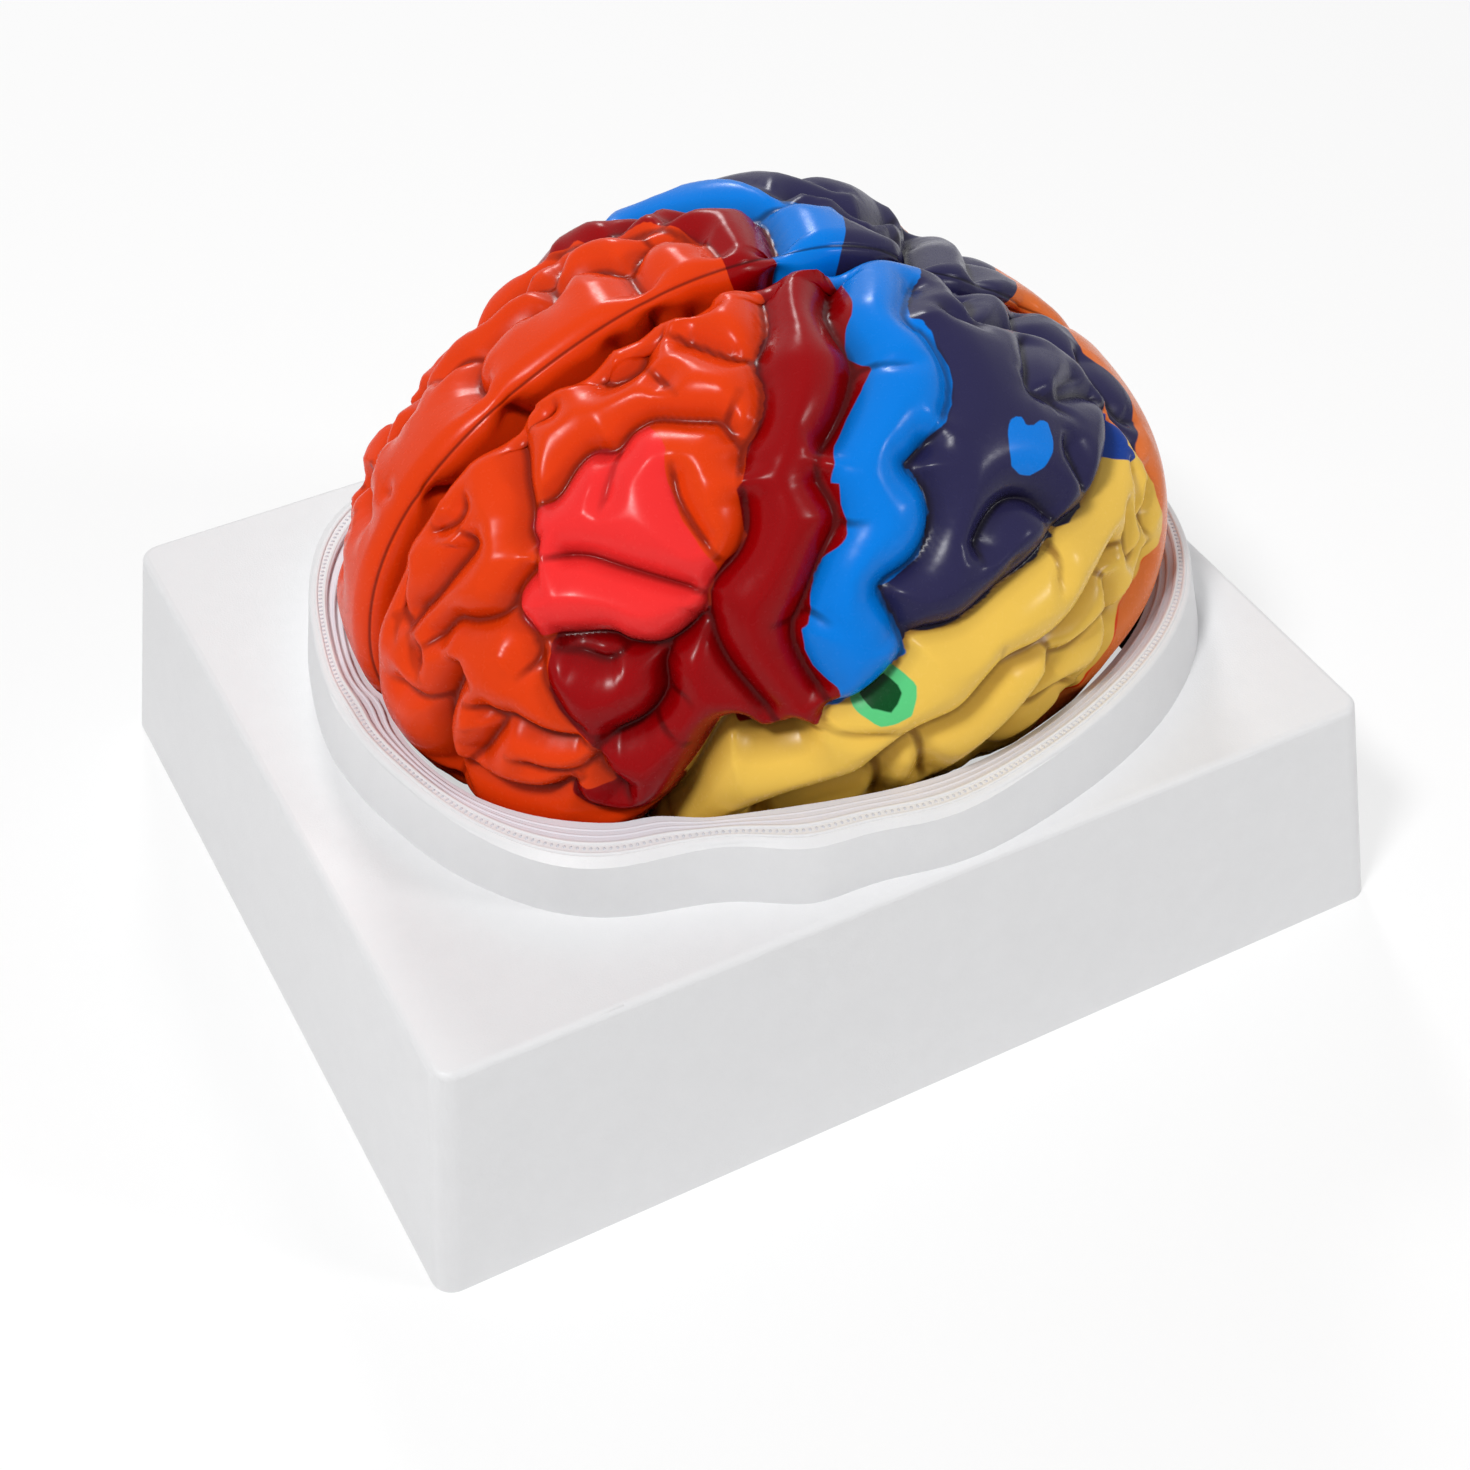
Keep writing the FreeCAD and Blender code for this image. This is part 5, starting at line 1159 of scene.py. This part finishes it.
# The camera's place in metres, its right-hand and forward directions, and its lens and sensor in mm.
CAMERA_PLACE = (-0.1821, -0.3494, 0.4000)
CAMERA_RIGHT = (0.88290, -0.46953, -0.00532)
CAMERA_FORWARD = (0.33492, 0.63766, -0.69370)
CAMERA_LENS = 60.511
CAMERA_SENSOR = 36.0
# The floor's share of plain white near the model, and the distances between which it grows to all.
FLOOR_SIZE = 12.0
FLOOR_CELLS = 8
FLOOR_COLOUR = (0.93, 0.93, 0.93, 1)
FLOOR_ROUGHNESS = 0.9
FLOOR_WHITE = 0.6
FLOOR_NEAR = 0.4
FLOOR_FAR = 1.5
WHITE = (1, 1, 1, 1)
SURROUND_STRENGTH = 0.29
# Lamps: name, place, width in metres and power in watts.
LAMPS = (
    ("key_lamp", (-0.62, -0.30, 1.10), 0.2, 9.8),
    ("fill_lamp", (0.95, -0.85, 0.75), 0.22, 4.8),
    ("back_lamp", (0.35, 1.1, 0.85), 0.22, 4.8),
)


def make_camera():
    """The camera at the photograph's place."""
    data = bpy.data.cameras.new("camera")
    data.lens = CAMERA_LENS
    data.sensor_width = CAMERA_SENSOR
    camera = in_scene("camera", data)
    right = Vector(CAMERA_RIGHT).normalized()
    back = -Vector(CAMERA_FORWARD).normalized()
    upward = back.cross(right)
    turn = Matrix((right, upward, back)).transposed()
    camera.matrix_world = Matrix.Translation(CAMERA_PLACE) @ turn.to_4x4()
    bpy.context.scene.camera = camera


def make_lamp(name, place, width, power):
    """A square lamp that faces the brain."""
    data = bpy.data.lights.new(name, "AREA")
    data.shape = "RECTANGLE"
    data.size = width
    data.size_y = width
    data.energy = power
    lamp = in_scene(name, data)
    lamp.location = place
    lamp.rotation_euler = (Vector(place) - CENTRE).to_track_quat("Z", "Y").to_euler()


def white_to_camera(nodes, links, plain, bright):
    """A shader that shows white to the camera and to reflections, and its plain colour to the rest."""
    path = nodes.new("ShaderNodeLightPath")
    mix = nodes.new("ShaderNodeMixShader")
    share = maths(nodes, links, "MAXIMUM", path.outputs["Is Camera Ray"], path.outputs["Is Glossy Ray"])
    links.new(maths(nodes, links, "MAXIMUM", share, path.outputs["Is Transmission Ray"]), mix.inputs[0])
    links.new(plain, mix.inputs[1])
    links.new(bright, mix.inputs[2])
    return mix.outputs[0]


def make_world():
    """A soft white surround, plain white where the camera sees it."""
    world = bpy.data.worlds.new("surround")
    bpy.context.scene.world = world
    world.use_nodes = True
    nodes, links = world.node_tree.nodes, world.node_tree.links
    soft = nodes["Background"]
    soft.inputs["Color"].default_value = WHITE
    soft.inputs["Strength"].default_value = SURROUND_STRENGTH
    bright = nodes.new("ShaderNodeBackground")
    bright.inputs["Color"].default_value = WHITE
    bright.inputs["Strength"].default_value = 1.0
    seen = white_to_camera(nodes, links, soft.outputs[0], bright.outputs[0])
    links.new(seen, nodes["World Output"].inputs["Surface"])


def make_floor():
    """A pale floor that fades to the white of the surround."""
    grid = bmesh.new()
    bmesh.ops.create_grid(grid, x_segments=FLOOR_CELLS, y_segments=FLOOR_CELLS, size=FLOOR_SIZE / 2)
    mesh = mesh_from(grid, "floor")
    floor = in_scene("floor", mesh)
    material, nodes, links, shader = new_material("floor")
    shader.inputs["Base Color"].default_value = FLOOR_COLOUR
    shader.inputs["Roughness"].default_value = FLOOR_ROUGHNESS
    white = nodes.new("ShaderNodeEmission")
    path = nodes.new("ShaderNodeLightPath")
    mix = nodes.new("ShaderNodeMixShader")
    place = nodes.new("ShaderNodeTexCoord")
    away = nodes.new("ShaderNodeVectorMath")
    away.operation = "LENGTH"
    links.new(place.outputs["Object"], away.inputs[0])
    plain = ranged(nodes, links, away.outputs["Value"], FLOOR_NEAR, FLOOR_FAR, FLOOR_WHITE, 1.0)
    links.new(maths(nodes, links, "MULTIPLY", path.outputs["Is Camera Ray"], plain), mix.inputs[0])
    links.new(shader.outputs[0], mix.inputs[1])
    links.new(white.outputs[0], mix.inputs[2])
    links.new(mix.outputs[0], nodes["Material Output"].inputs["Surface"])
    mesh.materials.append(material)


# Operators


def dress_node(name, material):
    """Give a node of the frame its own material."""
    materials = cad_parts[name].data.materials
    materials.clear()
    materials.append(material)


class BRAIN_OT_stage(bpy.types.Operator):
    """Make the floor, the surround, the lamps and the camera"""
    bl_idname = "brain.stage"
    bl_label = "Stage"

    def execute(self, context):
        context.scene.view_settings.view_transform = "Standard"
        make_camera()
        make_world()
        make_floor()
        for lamp in LAMPS:
            make_lamp(*lamp)
        return {"FINISHED"}


class BRAIN_OT_stand(bpy.types.Operator):
    """Finish the display stand and add the trim of its collar"""
    bl_idname = "brain.stand"
    bl_label = "Display stand"

    def execute(self, context):
        dress_node("base_stand", stand_plastic(context.scene.brain_stand))
        make_stand_trim(context.scene)
        return {"FINISHED"}


class BRAIN_OT_left_half(bpy.types.Operator):
    """Carve and paint the left half of the brain"""
    bl_idname = "brain.left_half"
    bl_label = "Left half"

    def execute(self, context):
        make_half(context.scene, "left")
        return {"FINISHED"}


class BRAIN_OT_right_half(bpy.types.Operator):
    """Carve and paint the right half of the brain"""
    bl_idname = "brain.right_half"
    bl_label = "Right half"

    def execute(self, context):
        make_half(context.scene, "right")
        return {"FINISHED"}


class BRAIN_OT_pegs(bpy.types.Operator):
    """Finish the two locating pegs between the halves"""
    bl_idname = "brain.pegs"
    bl_label = "Locating pegs"

    def execute(self, context):
        material = peg_plastic()
        for name in ("locating_peg_front", "locating_peg_rear"):
            dress_node(name, material)
        return {"FINISHED"}


class BRAIN_PT_panel(bpy.types.Panel):
    """The model's pieces, in the order in which they are made"""
    bl_idname = "BRAIN_PT_panel"
    bl_label = "Brain model"
    bl_space_type = "VIEW_3D"
    bl_region_type = "UI"
    bl_category = "Brain model"

    def draw(self, context):
        for operator in OPERATORS:
            self.layout.operator(operator.bl_idname)
        for name in SETTINGS:
            group = getattr(context.scene, name)
            box = self.layout.box()
            for prop in group.__annotations__:
                box.prop(group, prop)


OPERATORS = (BRAIN_OT_stage, BRAIN_OT_stand, BRAIN_OT_left_half, BRAIN_OT_right_half, BRAIN_OT_pegs)
SETTINGS = {
    "brain_form": BrainFormSettings,
    "brain_carving": CarvingSettings,
    "brain_paint": PaintSettings,
    "brain_stand": StandSettings,
}


def register():
    """Register the classes and hang the settings on the scene."""
    for name, group in SETTINGS.items():
        bpy.utils.register_class(group)
        setattr(bpy.types.Scene, name, bpy.props.PointerProperty(type=group))
    for cls in OPERATORS + (BRAIN_PT_panel,):
        bpy.utils.register_class(cls)


def unregister():
    """Undo register."""
    for cls in (BRAIN_PT_panel,) + OPERATORS[::-1]:
        bpy.utils.unregister_class(cls)
    for name, group in SETTINGS.items():
        delattr(bpy.types.Scene, name)
        bpy.utils.unregister_class(group)


def main():
    """Make the stage and every piece."""
    register()
    bpy.ops.brain.stage()
    bpy.ops.brain.stand()
    bpy.ops.brain.left_half()
    bpy.ops.brain.right_half()
    bpy.ops.brain.pegs()


if __name__ == "__main__":
    main()
